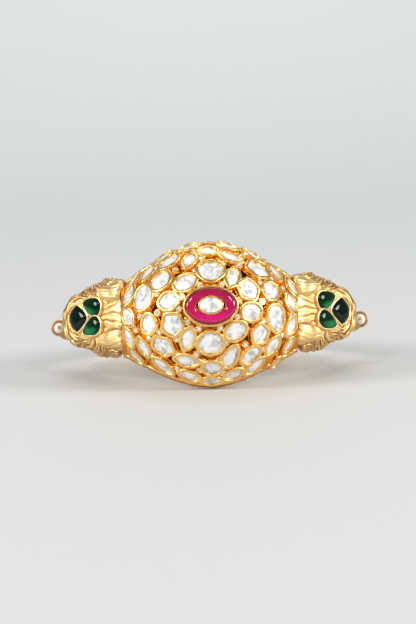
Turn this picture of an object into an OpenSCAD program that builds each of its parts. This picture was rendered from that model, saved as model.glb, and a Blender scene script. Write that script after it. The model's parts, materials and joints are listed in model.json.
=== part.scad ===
// Kundan bangle: a hollow gold dome set with flat diamonds between two animal heads,
// on a plain round wrist band. It is drawn lying on its side, as it rests by itself.
// X runs across the front, the dome faces -Y, +Z is up.
// Every piece is first drawn in the ring's own frame, where Z is the axis of the wrist,
// and lean() then tips it until the dome's lower rim and the band's back edge share a floor.

/* [Wrist band] */
// Inner radius of the band
wrist_r = 30; // [28:0.5:32]
// Thickness of the band under the dome and the heads
hoop_t = 1.1; // [0.9:0.1:1.2]
// Greatest thickness of the band across the back
back_t = 2.3; // [1.8:0.1:3]
// Width of the band
band_w = 9; // [8:0.5:10]

/* [Dome] */
// Distance from the wrist's axis to the crest of the dome
crest = 44.4; // [43.5:0.1:45.5]
// Radius of the dome's front arc, seen along the wrist's axis
plan_r = 26; // [25:0.5:28]
// Height of the dome from rim to rim
dome_h = 36.6; // [36.2:0.2:38]
// Half of the dome's width
dome_w = 22.3; // [22.2:0.1:22.8]
// How far the dome sits below the middle of the band
dome_drop = 1.4; // [1:0.1:1.8]
// Thickness of the dome's shell
shell_t = 1.2; // [1:0.1:1.5]

/* [Settings] */
// Width of the gold wall around each diamond
wall = 0.66; // [0.5:0.02:0.7]
// Clear gap around each stone
gap = 0.12; // [0.1:0.01:0.15]
// How far the wall around a diamond stands above the shell
wall_rise = 0.55; // [0.4:0.05:0.7]
// Radius of each tiny round diamond
spark_r = 0.38; // [0.3:0.02:0.42]

/* [Ruby] */
// Length and width of the ruby ring
ruby_size = [12.4, 9];
// Length and width of the diamond in the middle of the ruby
heart_size = [5.3, 3.7];

/* [Heads] */
// Distance from the wrist's axis to the flat of the forehead
brow_r = 36; // [35.5:0.1:36.5]
// Radius of each pearl
pearl_r = 1.6; // [1.4:0.05:1.7]

/* [Hidden] */
gold = "goldenrod";
crown_r = 9;
clear_gap = 0.15;
plate_in = wrist_r + hoop_t + clear_gap;
plate_t = 1;
seat_r = plate_in + plate_t + clear_gap;
edge_a = 60;
tip_round = 9.5;
tip_slope = 0.72;
chart_up = 0.6;
lip = 0.35;
lip_w = 1;
sections = 10;
steps = 8;
head_in = plate_in;
head_from = 38;
head_to = 98;
brow_turn = 42;
head_x = dome_w + 0.25;
stone_low = -0.35;
pocket_low = -0.47;
girdle_up = 0.12;
table_up = 0.5;

// The main diamonds, as they lie on the dome seen from the front, heights counted from the ruby.
// x and z of the middle, length, width, turn from the X axis, and outline
MAIN = [
    [0.6, 9.0, 6.2, 5.6, 0, "egg"],
    [-5.7, 6.3, 5.5, 4.3, 18, "oval"],
    [-9.8, 1.9, 5.0, 4.3, 10, "oval"],
    [-9.0, -3.8, 5.4, 5.2, -85, "five"],
    [-5.4, -7.4, 5.6, 3.4, 70, "leaf"],
    [0.1, -8.6, 6.3, 5.5, 180, "egg"],
    [6.3, -5.9, 5.3, 4.2, 20, "oval"],
    [10.2, -1.3, 5.0, 4.2, 10, "oval"],
    [9.7, 4.2, 5.3, 5.0, 90, "five"],
    [5.9, 7.3, 5.4, 3.2, 72, "leaf"],
    [-11.7, 7.3, 5.4, 5.2, 40, "oval"],
    [-16.1, 3.5, 6.6, 5.6, 78, "egg"],
    [-14.8, -3.3, 4.7, 4.2, 80, "egg"],
    [-11.6, -8.7, 5.8, 4.7, -15, "five"],
    [-5.7, -12.4, 6.2, 3.3, 0, "leaf"],
    [0.4, -14.4, 4.7, 4.0, 0, "egg"],
    [4.9, -11.8, 6.2, 3.4, 62, "pear"],
    [9.8, -11.5, 5.4, 4.2, 35, "oval"],
    [12.2, -6.5, 4.8, 4.5, 85, "five"],
    [16.3, -2.8, 6.6, 5.0, -82, "pear"],
    [15.2, 4.1, 4.8, 4.6, 60, "oval"],
    [12.1, 9.5, 6.0, 4.8, -18, "five"],
    [5.8, 12.7, 5.8, 3.0, -12, "leaf"],
    [0.1, 14.6, 4.7, 3.2, 0, "oval"],
    [-4.6, 12.1, 4.9, 3.3, 65, "leaf"],
    [-9.5, 12.3, 5.6, 3.6, 24, "oval"]
];

// The diamonds nearest the dome's rim, in the same columns
RIM_UPPER = [
    [-14.9, 10.0, 5.2, 2.7, 52, "leaf"],
    [-19.2, 4.9, 5.3, 2.8, 58, "leaf"],
    [20.3, 5.9, 4.8, 2.6, -58, "leaf"],
    [16.6, 9.2, 5.2, 2.6, -56, "leaf"],
    [11.4, 13.6, 6.0, 2.4, -26, "leaf"],
    [4.9, 16.1, 4.9, 2.2, -8, "leaf"],
    [-4.7, 16.1, 4.9, 2.2, 10, "leaf"],
    [-11.1, 13.8, 5.4, 2.2, 28, "leaf"]
];
RIM_LOWER = [
    [-19.6, -1.0, 5.2, 2.8, -48, "leaf"],
    [-19.9, -5.9, 5.0, 2.8, -60, "leaf"],
    [-16.4, -8.5, 5.2, 2.6, -62, "leaf"],
    [-11.8, -13.2, 6.4, 2.8, -30, "leaf"],
    [-5.3, -15.9, 5.6, 2.6, -8, "leaf"],
    [0.2, -17.3, 5.0, 2.2, 0, "leaf"],
    [5.4, -15.9, 5.2, 2.7, 16, "leaf"],
    [10.8, -13.9, 6.0, 2.8, 30, "leaf"],
    [15.3, -9.1, 5.2, 3.0, 46, "leaf"],
    [19.8, -4.4, 5.0, 2.8, 52, "leaf"],
    [19.8, 1.5, 4.9, 2.7, -50, "leaf"]
];

// The tiny round diamonds between them, each with a pierced gap beside it.
// x and z of the middle, and the direction in which the gap lies
SPARKS = [
    [-1.6, 12.5, 230], [-8.1, 9.9, 60], [-3.2, 9.3, 130], [-12.9, 10.8, 200],
    [-2.1, 5.6, 180], [3.2, 5.6, 0], [-12.7, 4.0, 100], [-12.6, -0.8, 60],
    [-6.6, 2.7, 100], [-7.4, -0.2, 200], [-17.1, -1.2, 0], [-18.2, -4.3, 90],
    [-15.0, -6.6, 30], [-12.3, -5.4, 90], [-8.2, -7.3, 150], [-5.4, -3.5, 200],
    [-2.7, -5.1, 200], [2.5, -5.2, 250], [6.8, -2.5, 40], [7.2, 1.4, 90],
    [12.9, 1.3, 100], [12.6, 6.1, 180], [17.5, 1.0, 90], [13.2, -3.4, 90],
    [3.6, 10.9, 100], [7.8, 10.5, 0], [3.0, 14.4, 200], [-3.0, 14.6, 200],
    [15.2, 11.5, 180], [15.6, 7.3, 180], [8.7, 13.5, 200], [-8.3, -10.8, 180],
    [-3.4, -11.0, 60], [-1.9, -12.8, 90], [2.2, -12.4, 90], [3.9, -8.6, 90],
    [8.5, -9.0, 180], [12.9, -10.0, 90], [7.6, -14.4, 180], [2.8, -15.6, 90],
    [-2.7, -14.7, 100], [-8.3, -14.0, 90], [-14.2, -10.6, 90], [17.7, -6.6, 180],
    [20.0, -1.6, 180], [18.3, 5.0, 200]
];

// Depth of the head below its middle at angles round the wrist from the front
HEAD_HALF = [[38, 10.2], [46, 10], [54, 9], [62, 7.6], [72, 6.2], [84, 5.2], [98, 4.7]];

// How high the head stands above its middle, as a share of that depth
HEAD_TOP = [[38, 0.89], [70, 0.93], [98, 1]];

// Outline of an ear, from the root to the broad end at the dome: angle round the wrist,
// height, and distance from the wrist's axis
EAR = [[52, 5.8, 37.1], [46.5, 3.4, 36.9], [38.7, 3.4, 36.5], [38.7, 6.4, 36.7],
    [38.8, 9.4, 36.2], [40.5, 9.5, 36.2], [45.5, 7.6, 36.7]];

// Locks of hair behind the forehead: where each starts and ends, in angle and height
LOCKS = [[[55, 8.3], [44, 10.2]], [[66, 6.6], [56, 8.6]], [[75, 4.6], [65, 7]], [[84, 3], [75, 5.2]]];

EMERALD_NAMES = ["upper", "lower", "brow"];

function polki_name(i) = str("polki_", i < 10 ? "0" : "", i);
function unit(v) = v / norm(v);

// Half height of the dome at x: a rounded point in the middle and nearly straight flanks
function dome_half(x) = dome_h / 2 + tip_round - norm([tip_round, tip_slope * x]);
function front_at(x) = crest - plan_r + sqrt(plan_r * plan_r - x * x);
function seat_at(x) = sqrt(seat_r * seat_r - x * x);

// The dome's surface: an arc from rim to rim in each upright section
function dome_point(x, z) =
    let (s = z / dome_half(x) * sin(edge_a), c = sqrt(max(0, 1 - s * s)))
    let (rise = (c - cos(edge_a)) / (1 - cos(edge_a)))
    [x, -(seat_at(x) + (front_at(x) - seat_at(x)) * rise), z - dome_drop];

function dome_normal(x, z, e = 0.05) =
    unit(cross(dome_point(x + e, z) - dome_point(x - e, z), dome_point(x, z + e) - dome_point(x, z - e)));

// The bangle leans until the dome's lower rim and the band's lower back edge are level
edge_t = max(hoop_t, back_t - crown_r + sqrt(crown_r * crown_r - band_w * band_w / 4));
back_low = [wrist_r + edge_t, -band_w / 2];
rim_low = [-seat_r, -(dome_h / 2 + lip + dome_drop)];
rest_tilt = atan2(back_low[1] - rim_low[1], back_low[0] - rim_low[0]);
rest_lift = -(back_low[1] * cos(rest_tilt) - back_low[0] * sin(rest_tilt));
rest_shift = 7;

module lean() {
    translate([0, rest_shift, rest_lift]) rotate([-rest_tilt, 0, 0]) children();
}

// Stands a piece on the dome at x, z, with its own Z along the surface's normal
module on_dome(x, z, turn = 0) {
    n = dome_normal(x, z + chart_up);
    across = unit([1, 0, 0] - n[0] * n);
    up = cross(n, across);
    p = dome_point(x, z + chart_up);
    multmatrix([
        [across[0], up[0], n[0], p[0]],
        [across[1], up[1], n[1], p[1]],
        [across[2], up[2], n[2], p[2]],
        [0, 0, 0, 1]
    ]) rotate(turn) children();
}

// Outline of a stone of the given length and width, as points round its middle
function outline(long, wide, kind) =
    let (count = kind == "leaf" || kind == "round" ? 8 : 10) [
    for (i = [0:count - 1])
        let (a = 360 * (i + (kind == "five" ? 0 : 0.5)) / count)
        let (f = kind == "leaf" ? [1.06 * cos(a), sign(sin(a)) * (1 - pow(abs(cos(a)), 1.8)) * 1.04]
            : kind == "pear" ? [cos(a), sin(a) * (1 - 0.3 * cos(a))]
            : kind == "egg" ? [cos(a) * (1 + 0.12 * sin(a)), sin(a)]
            : kind == "five" ? (i % 2 == 0 ? 1.04 : 0.9) * [cos(a), sin(a)]
            : [cos(a), sin(a)])
        [f[0] * long / 2, f[1] * wide / 2]
];

// A solid between two outlines of equal count
module between(low, high, low_z, high_z) {
    hull() {
        translate([0, 0, low_z]) linear_extrude(0.01) polygon(low);
        translate([0, 0, high_z - 0.01]) linear_extrude(0.01) polygon(high);
    }
}

module wall_block(row) {
    between(
        outline(row[2] + 2 * wall + 0.16, row[3] + 2 * wall + 0.16, row[5]),
        outline(row[2] + 2 * wall, row[3] + 2 * wall, row[5]),
        -0.6, wall_rise
    );
}

module pocket(row) {
    translate([0, 0, pocket_low])
        linear_extrude(2) polygon(outline(row[2] + 2 * gap, row[3] + 2 * gap, row[5]));
}

// A cut slice of stone: flat underneath, with a facet on each side up to a flat table
module cut_stone(long, wide, kind, low, girdle, top) {
    corners = outline(long, wide, kind);
    n = len(corners);
    table = 0.6;
    difference() {
        translate([0, 0, low]) linear_extrude(top - low) polygon(corners);
        for (i = [0:n - 1]) {
            p = corners[i];
            q = corners[(i + 1) % n];
            along = q - p;
            inward = abs(cross(p, along)) / norm(along) * (1 - table);
            translate([p[0], p[1], girdle]) rotate([0, 0, atan2(along[1], along[0])])
                rotate([atan2(top - girdle, inward), 0, 0])
                translate([-long, -long, 0]) cube([3 * long, 3 * long, long]);
        }
    }
}

module polki_stone(long, wide, kind) {
    cut_stone(long, wide, kind, stone_low, girdle_up, table_up);
}

module polki(row) {
    color("aliceblue") lean() on_dome(row[0], row[1], row[4]) polki_stone(row[2], row[3], row[5]);
}

module polki_field(rows) {
    color("aliceblue") lean()
        for (row = rows) on_dome(row[0], row[1], row[4]) polki_stone(row[2], row[3], row[5]);
}

module spark_diamonds() {
    color("white") lean() for (row = SPARKS) on_dome(row[0], row[1])
        cut_stone(2 * spark_r, 2 * spark_r, "round", -0.05, 0.05, 0.3);
}

// Closed solid through equal rings of points, with flat ends
module loft(rings) {
    n = len(rings[0]);
    last = (len(rings) - 1) * n;
    polyhedron(
        points = [for (ring = rings, p = ring) p],
        faces = concat(
            [[for (i = [0:n - 1]) i]],
            [for (k = [0:len(rings) - 2], i = [0:n - 1])
                [k * n + i, (k + 1) * n + i, (k + 1) * n + (i + 1) % n, k * n + (i + 1) % n]],
            [[for (i = [n - 1:-1:0]) last + i]]
        )
    );
}

function section_x(k, w) = w * sin(78 * (2 * k / sections - 1)) / sin(78);

// Upright section of the dome's outside at x, with a lip along both rims
function outer_ring(x) =
    let (h = dome_half(x), y = -seat_at(x))
    concat(
        [[x, y, h + lip - dome_drop], [x, y - lip_w, h + lip - dome_drop]],
        [for (j = [0:steps]) dome_point(x, h * 0.93 * (1 - 2 * j / steps))],
        [[x, y - lip_w, -h - lip - dome_drop], [x, y, -h - lip - dome_drop]]
    );

// The same section of the hollow, which runs out at the back
function inner_ring(x) =
    let (h = dome_half(x) - shell_t, y = -seat_at(x) + 2)
    concat(
        [[x, y, h - dome_drop]],
        [for (j = [0:steps])
            let (p = dome_point(x, dome_half(x) * 0.93 * (1 - 2 * j / steps)))
            [x, p[1] + shell_t, (p[2] + dome_drop) * h / dome_half(x) / 0.97 - dome_drop]],
        [[x, y, -h - dome_drop]]
    );

module dome_shell() {
    difference() {
        loft([for (k = [0:sections]) outer_ring(section_x(k, dome_w))]);
        loft([for (k = [0:sections]) inner_ring(section_x(k, dome_w - shell_t))]);
    }
}

module dome_cage() {
    color(gold) lean() difference() {
        union() {
            difference() {
                dome_shell();
                for (row = SPARKS) on_dome(row[0], row[1], row[2])
                    translate([1.1, 0, -3]) cylinder(r = 0.8, h = 6, $fn = 3);
            }
            for (row = concat(MAIN, RIM_UPPER, RIM_LOWER)) on_dome(row[0], row[1], row[4]) wall_block(row);
            for (row = SPARKS) on_dome(row[0], row[1])
                translate([0, 0, -0.7]) cylinder(r = spark_r + gap + 0.2, h = 1.05, $fn = 6);
            on_dome(ruby_at[0], ruby_at[1]) ruby_wall();
        }
        for (row = concat(MAIN, RIM_UPPER, RIM_LOWER)) on_dome(row[0], row[1], row[4]) pocket(row);
        for (row = SPARKS) on_dome(row[0], row[1])
            translate([0, 0, -0.17]) cylinder(r = spark_r + gap + 0.03, h = 1, $fn = 6);
        on_dome(ruby_at[0], ruby_at[1]) ruby_pocket();
        cylinder(r = seat_r, h = 2 * dome_h, center = true, $fn = 120);
    }
}

// The ruby is a domed oval ring, and the middle diamond's setting stands up through it
ruby_at = [0.4, 0.2];
ruby_low = -0.5;
heart_hole = heart_size + [1.5, 1.5];

module ruby_wall() {
    between(oval(ruby_size + [1.6, 1.6], 24), oval(ruby_size + [1.2, 1.2], 24), -0.75, 0.75);
}

module ruby_pocket() {
    difference() {
        translate([0, 0, ruby_low - gap]) linear_extrude(4) polygon(oval(ruby_size + 2 * [gap, gap], 24));
        translate([0, 0, ruby_low - 1]) linear_extrude(3.4) polygon(oval(heart_hole - 2 * [gap, gap], 16));
    }
    translate([0, 0, 1.25]) linear_extrude(4) polygon(oval(heart_size + 2 * [gap, gap], 16));
    translate([0, 0, 1.9]) linear_extrude(4) polygon(oval(heart_hole + [1, 1], 16));
}

function oval(size, count) = [for (i = [0:count - 1])
    let (a = 360 * i / count) [size[0] / 2 * cos(a), size[1] / 2 * sin(a)]];

module ruby_ring() {
    count = 26;
    // How far out from hole to girdle, and how high, each ring of the section lies
    profile = [[0, ruby_low], [1, ruby_low], [1, 0.55], [0.82, 1.15], [0.5, 1.5], [0.18, 1.45], [0, 1.2]];
    rings = [for (i = [0:count - 1])
        let (a = 360 * i / count, d = [cos(a), sin(a)])
        [for (q = profile) let (s = heart_hole * (1 - q[0]) + ruby_size * q[0])
            [s[0] / 2 * d[0], s[1] / 2 * d[1], q[1]]]];
    n = len(profile);
    color("mediumvioletred") lean() on_dome(ruby_at[0], ruby_at[1]) polyhedron(
        points = [for (ring = rings, p = ring) p],
        faces = [for (i = [0:count - 1], k = [0:n - 1])
            let (j = (i + 1) % count, m = (k + 1) % n)
            [i * n + k, i * n + m, j * n + m, j * n + k]]
    );
}

module heart_polki() {
    color("aliceblue") lean() on_dome(ruby_at[0], ruby_at[1])
        translate([0, 0, 1.37 - stone_low]) polki_stone(heart_size[0], heart_size[1], "oval");
}

// The band is a true round hoop, thickened to a crowned section across the back
module wrist_band() {
    half_turn = 360 - 2 * head_to - 0.6;
    color(gold) lean() difference() {
        union() {
            cylinder(r = wrist_r + hoop_t, h = band_w, center = true, $fn = 180);
            rotate([0, 0, 90 - half_turn / 2]) rotate_extrude(angle = half_turn, $fn = 180)
                intersection() {
                    translate([wrist_r + back_t - crown_r, 0]) circle(r = crown_r, $fn = 90);
                    translate([wrist_r + 0.2, -band_w / 2]) square([back_t, band_w]);
                }
        }
        cylinder(r = wrist_r, h = band_w + 2, center = true, $fn = 180);
    }
}

// Curved plate that closes the dome's back, against the wrist band
module wrist_plate() {
    inset = 0.4;
    limit = dome_w - 1.5;
    color(gold) lean() intersection() {
        difference() {
            cylinder(r = plate_in + plate_t, h = 2 * dome_h, center = true, $fn = 180);
            cylinder(r = plate_in, h = 2 * dome_h + 2, center = true, $fn = 180);
        }
        translate([0, 0, -dome_drop]) rotate([90, 0, 0]) linear_extrude(2 * crest)
            polygon(concat(
                [for (k = [0:12]) let (x = limit * (k / 6 - 1)) [x, dome_half(x) + lip - inset]],
                [for (k = [12:-1:0]) let (x = limit * (k / 6 - 1)) [x, -dome_half(x) - lip + inset]]
            ));
    }
}

// Distance of the head's outside from the wrist's axis: a flat forehead, then a face that falls to the band
function head_r(t) = let (turn = 68, top = brow_r / cos(turn - brow_turn), low = wrist_r + back_t)
    t <= turn ? brow_r / cos(t - brow_turn)
    : low + (top - low) * (0.5 + 0.5 * cos(180 * (t - turn) / (head_to - turn)));

function round_wrist(t, r, z) = [r * sin(t), -r * cos(t), z];
function head_z(t, z) = z > 0 ? z * lookup(t, HEAD_TOP) : z;

module head_core() {
    count = 12;
    loft([for (k = [0:14])
        let (t = head_from + (head_to - head_from) * k / 14, h = lookup(t, HEAD_HALF))
        [for (j = [0:count])
            let (a = 90 - 180 * j / count)
            let (out = pow(max(0, cos(a)), 0.75), z = sign(a) * pow(abs(sin(a)), 0.75))
            round_wrist(t, head_in - 1 + (head_r(t) - head_in + 1) * out, head_z(t, h * z))]]);
}

// A smooth ear that fans out from the forehead towards the dome
module ear(side) {
    hull() {
        for (p = EAR) translate(round_wrist(p[0], p[2], head_z(p[0], side * p[1]))) sphere(r = 0.5, $fn = 6);
        translate(round_wrist(46, brow_r - 2.5, side * 5.5)) cube([2.5, 2.5, 3], center = true);
    }
}

module lock_of_hair(ends, side) {
    hull() for (e = ends)
        translate(round_wrist(e[0], head_r(e[0]) - 2.2, head_z(e[0], side * (e[1] - 0.9))))
            sphere(r = 1.5, $fn = 6);
}

// Stands a piece on the flat of the forehead, u outwards along it and z up
module on_brow(u, z, turn = 0) {
    rotate([0, 0, brow_turn]) translate([u, -brow_r, z]) rotate([90, 0, 0]) rotate(turn) children();
}

// The three green stones: place along the forehead, height, length, width, turn and outline
GREENS = [
    [7.5, 2.6, 6.4, 4.1, 20, "pear"],
    [7.5, -2.8, 6.4, 4.1, -20, "pear"],
    [12.5, -0.1, 6.2, 6.2, 0, "shield"]
];

function green_outline(row, grow) = row[5] == "shield"
    ? [for (q = [[-1, 0], [0, -1], [0.5, -0.86], [0.88, -0.48], [1, 0],
        [0.88, 0.48], [0.5, 0.86], [0, 1]])
        [q[0] * (row[2] / 2 + grow), q[1] * (row[3] / 2 + grow)]]
    : [for (i = [0:9]) let (a = 36 * i)
        [(row[2] / 2 + grow) * cos(a), (row[3] / 2 + grow) * sin(a) * (1 - 0.42 * cos(a))]];

module emerald(row) {
    levels = [[0.92, -0.5], [1, 0.3], [0.86, 0.9], [0.5, 1.3]];
    loft([for (q = levels) [for (p = green_outline(row, 0)) [p[0] * q[0], p[1] * q[0], q[1]]]]);
}

// Pearl, in the curl at the tip of the trunk, with its peg pointing forwards
pearl_at = [40.1, -1, -0.8];
cup_in = pearl_r + clear_gap;
cup_out = cup_in + 0.45;
peg_r = 0.32;
peg_back = 2.2;
peg_front = 1.8;

module pearl() {
    color("ivory") lean() translate(pearl_at) difference() {
        sphere(r = pearl_r, $fn = 64);
        rotate([90, 0, 0]) cylinder(r = peg_r + 0.1, h = 4 * pearl_r, center = true, $fn = 32);
    }
}

module trunk() {
    path = [[34.6, -4, -2.2, 1.8], [37.4, -0.8, -2.7, 1.2], [39.6, 0.7, -2, 0.9], [40.1, 0.8, -0.8, 0.8]];
    for (i = [0:2]) hull() for (k = [0:1])
        translate([path[i + k][0], path[i + k][1], path[i + k][2]]) sphere(r = path[i + k][3], $fn = 7);
}

// The hollow that holds the pearl, open in front
module pearl_hollow() {
    cylinder(r = cup_in, h = 6, $fn = 12);
    sphere(r = cup_in + 0.08, $fn = 12);
}

module head() {
    color(gold) {
        bare_head();
        translate(pearl_at + [0, peg_back, 0]) rotate([90, 0, 0])
            cylinder(r = peg_r, h = peg_back + peg_front, $fn = 6);
    }
}

module bare_head() {
    difference() {
        union() {
            head_core();
            for (side = [-1, 1]) {
                ear(side);
                for (ends = LOCKS) lock_of_hair(ends, side);
            }
            for (row = GREENS) on_brow(row[0], row[1], row[4])
                between(green_outline(row, 0.85), green_outline(row, 0.7), -1.4, 0.75);
            trunk();
            translate(pearl_at) rotate([90, 0, 0]) cylinder(r = cup_out, h = 1.9, center = true, $fn = 12);
        }
        for (row = GREENS) on_brow(row[0], row[1], row[4])
            translate([0, 0, -0.62]) linear_extrude(4) polygon(green_outline(row, gap));
        translate(pearl_at) rotate([90, 0, 0]) pearl_hollow();
        for (z = [-1.6, 0, 1.6]) hull() {
            translate(round_wrist(46, brow_r + 0.2, z * 0.7)) sphere(r = 0.5, $fn = 6);
            translate(round_wrist(38, brow_r, z * 1.4)) sphere(r = 0.9, $fn = 6);
        }
        cylinder(r = head_in, h = 2 * dome_h, center = true, $fn = 120);
        translate([0, -dome_h, -dome_h]) cube([head_x, dome_h, 2 * dome_h]);
    }
}

wrist_band();
wrist_plate();
dome_cage();
lean() mirror([1, 0, 0]) head();  // head_left
lean() head();  // head_right
mirror([1, 0, 0]) pearl();  // pearl_left
pearl();  // pearl_right
ruby_ring();
heart_polki();
for (side = [0, 1], k = [0:2])
    color("darkgreen") lean() mirror([1 - side, 0, 0]) on_brow(GREENS[k][0], GREENS[k][1], GREENS[k][4])
            emerald(GREENS[k]);
for (i = [1:len(MAIN)])
    polki(MAIN[i - 1]);
polki_field(RIM_UPPER);  // rim_polki_upper
polki_field(RIM_LOWER);  // rim_polki_lower
spark_diamonds();
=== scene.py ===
"""Dresses the kundan bangle's frame: openwork dome, diamonds, ruby, cast heads, pearls and wrist band."""

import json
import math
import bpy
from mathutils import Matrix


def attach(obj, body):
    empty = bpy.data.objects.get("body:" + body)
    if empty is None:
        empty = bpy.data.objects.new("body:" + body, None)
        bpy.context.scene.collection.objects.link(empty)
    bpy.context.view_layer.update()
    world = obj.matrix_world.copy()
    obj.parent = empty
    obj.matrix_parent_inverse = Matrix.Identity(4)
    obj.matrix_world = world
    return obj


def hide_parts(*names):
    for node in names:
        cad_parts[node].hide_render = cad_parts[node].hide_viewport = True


bl_info = {
    "name": "Kundan bangle",
    "version": (1, 0, 0),
    "blender": (4, 5, 0),
    "location": "3D View > Sidebar > Bangle",
    "description": "Dresses a kundan bangle's frame in gold, flat diamonds, ruby, green stones and pearls",
    "category": "Object",
}

import bmesh
import bpy
import numpy as np
from bpy.props import FloatProperty, FloatVectorProperty, PointerProperty
from bpy.types import Operator, Panel, PropertyGroup
from mathutils import Matrix, Vector

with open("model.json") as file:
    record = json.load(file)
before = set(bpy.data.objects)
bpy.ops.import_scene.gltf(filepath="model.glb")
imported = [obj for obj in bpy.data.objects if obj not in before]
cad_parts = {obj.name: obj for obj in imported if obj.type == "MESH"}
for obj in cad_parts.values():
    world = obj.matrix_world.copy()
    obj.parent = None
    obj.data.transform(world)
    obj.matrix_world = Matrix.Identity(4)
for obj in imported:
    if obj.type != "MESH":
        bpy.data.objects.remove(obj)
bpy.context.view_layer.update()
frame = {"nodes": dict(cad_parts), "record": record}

MM = 0.001
PHOTO_HIGH = 624  # pixels

# The ring's own frame, from the wrist opening: X across the front, Y to the back, Z along the wrist
OPENING = next(m for m in frame["record"]["mounts"] if m["name"] == "wrist_opening")
WRIST_AT = np.array(OPENING["pos_m"])
WRIST_R = OPENING["dims"]["r_mm"] * MM
AXIS = np.array(OPENING["axis"]) / np.linalg.norm(OPENING["axis"])
RING = np.array([[1, 0, 0], [0, AXIS[2], -AXIS[1]], AXIS])

MAIN_DIAMONDS = sorted(n for n in frame["nodes"] if n.startswith("polki_"))
RIM_DIAMONDS = ["rim_polki_upper", "rim_polki_lower"]

# How high above a stone's foot its heights are counted from: flat diamonds, round ones and coloured stones
FLAT_SEAT, ROUND_SEAT, GEM_SEAT = 0.35 * MM, 0.2 * MM, 0.5 * MM

# Where each kind of piece starts to count its random seeds
OUTLINE_SEED, WALL_SEED, FACET_SEED, BEZEL_SEED = 100, 300, 500, 700
RUBY_WALL_SEED, HEART_WALL_SEED, HEART_FACET_SEED = 290, 291, 499

# Sockets of a colour Mix node, whose names repeat: the factor, the two colours and the result
FACTOR, FIRST, SECOND, MIXED = 0, 6, 7, 2


def linear(code):
    """An sRGB hex colour as linear red, green and blue, with an alpha of 1."""
    parts = np.array([int(code[i:i + 2], 16) for i in (1, 3, 5)]) / 255
    return (*np.where(parts <= 0.04045, parts / 12.92, ((parts + 0.055) / 1.055) ** 2.4), 1)


def length(name, description, mm):
    """A length property, given in millimetres."""
    return FloatProperty(name=name, description=description, default=mm * MM, subtype="DISTANCE")


def share(name, description, value):
    """A plain number property between 0 and 1."""
    return FloatProperty(name=name, description=description, default=value, min=0, max=1, subtype="FACTOR")


def degrees(name, description, value):
    """An angle property, given in degrees."""
    return FloatProperty(name=name, description=description, default=math.radians(value), subtype="ANGLE")


def colour(name, description, code):
    """A colour property, given as an sRGB hex value."""
    return FloatVectorProperty(name=name, description=description, default=linear(code), subtype="COLOR",
                               size=4, min=0, max=1)


class DomeSizes(PropertyGroup):
    """The dome's surface, its pierced net and its rails"""
    crest: length("Crest", "From the wrist's axis to the crest of the dome", 44.4)
    plan_r: length("Front arc", "Radius of the dome's front, seen along the wrist's axis", 26)
    height: length("Height", "From rim to rim", 36.6)
    half_width: length("Half width", "From the middle to the dome's end", 22.3)
    drop: length("Drop", "How far the dome sits below the middle of the band", 1.4)
    seat_r: length("Seat", "Radius of the dome's back", 32.4)
    tip_round: length("Tip round", "Radius of the outline's rounded tips", 9.5)
    tip_slope: share("Tip slope", "Slope of the outline's straight flanks", 0.72)
    net_depth: length("Net depth", "How far the pierced net lies below the surface", 0.7)
    net_thick: length("Net thickness", "Thickness of the pierced net", 0.5)
    pierce_from: length("Pierced from", "Distance from a stone at which the net is cut through", 0.98)
    pierce_to: length("Pierced to", "Distance from a stone beyond which it is left whole", 1.7)
    rail: length("Rail", "Radius of the rounded rail along the rims", 0.55)


class SettingSizes(PropertyGroup):
    """The gold round the stones"""
    wall: length("Wall", "Width of the gold wall around a flat diamond", 0.76)
    spark_r: length("Round diamond", "Radius of a tiny round diamond", 0.65)
    collet_r: length("Collet", "Outer radius of a tiny diamond's collet", 0.91)
    bezel: length("Bezel", "Width of the bezel around a green stone", 0.5)


class HeadSizes(PropertyGroup):
    """The cast heads and their pearls"""
    inner_r: length("Inside", "Radius of the head's inside, against the band", 31.3)
    brow_r: length("Forehead", "From the wrist's axis to the flat of the forehead", 36)
    cut_x: length("End", "Where the head stops short of the dome", 22.4)
    strand: length("Lock", "Spacing of the chased locks of hair", 0.85)
    chased: share("Chased", "Depth of the chasing, against that drawn in the shapes", 1.0)
    pearl_r: length("Pearl", "Radius of each pearl", 1.55)
    cup_r: length("Pearl cup", "Outer radius of the cup that holds a pearl", 2.2)


class BandSizes(PropertyGroup):
    """The wrist band"""
    hoop_t: length("Hoop", "Thickness of the band under the dome and heads", 1.1)
    back_t: length("Back", "Greatest thickness across the back", 2.28)
    width: length("Width", "Width of the band", 9)
    crown_r: length("Crown", "Radius of the band's crowned section", 9)
    edge_r: length("Edge", "Radius of the band's softened edges", 0.22)


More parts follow.
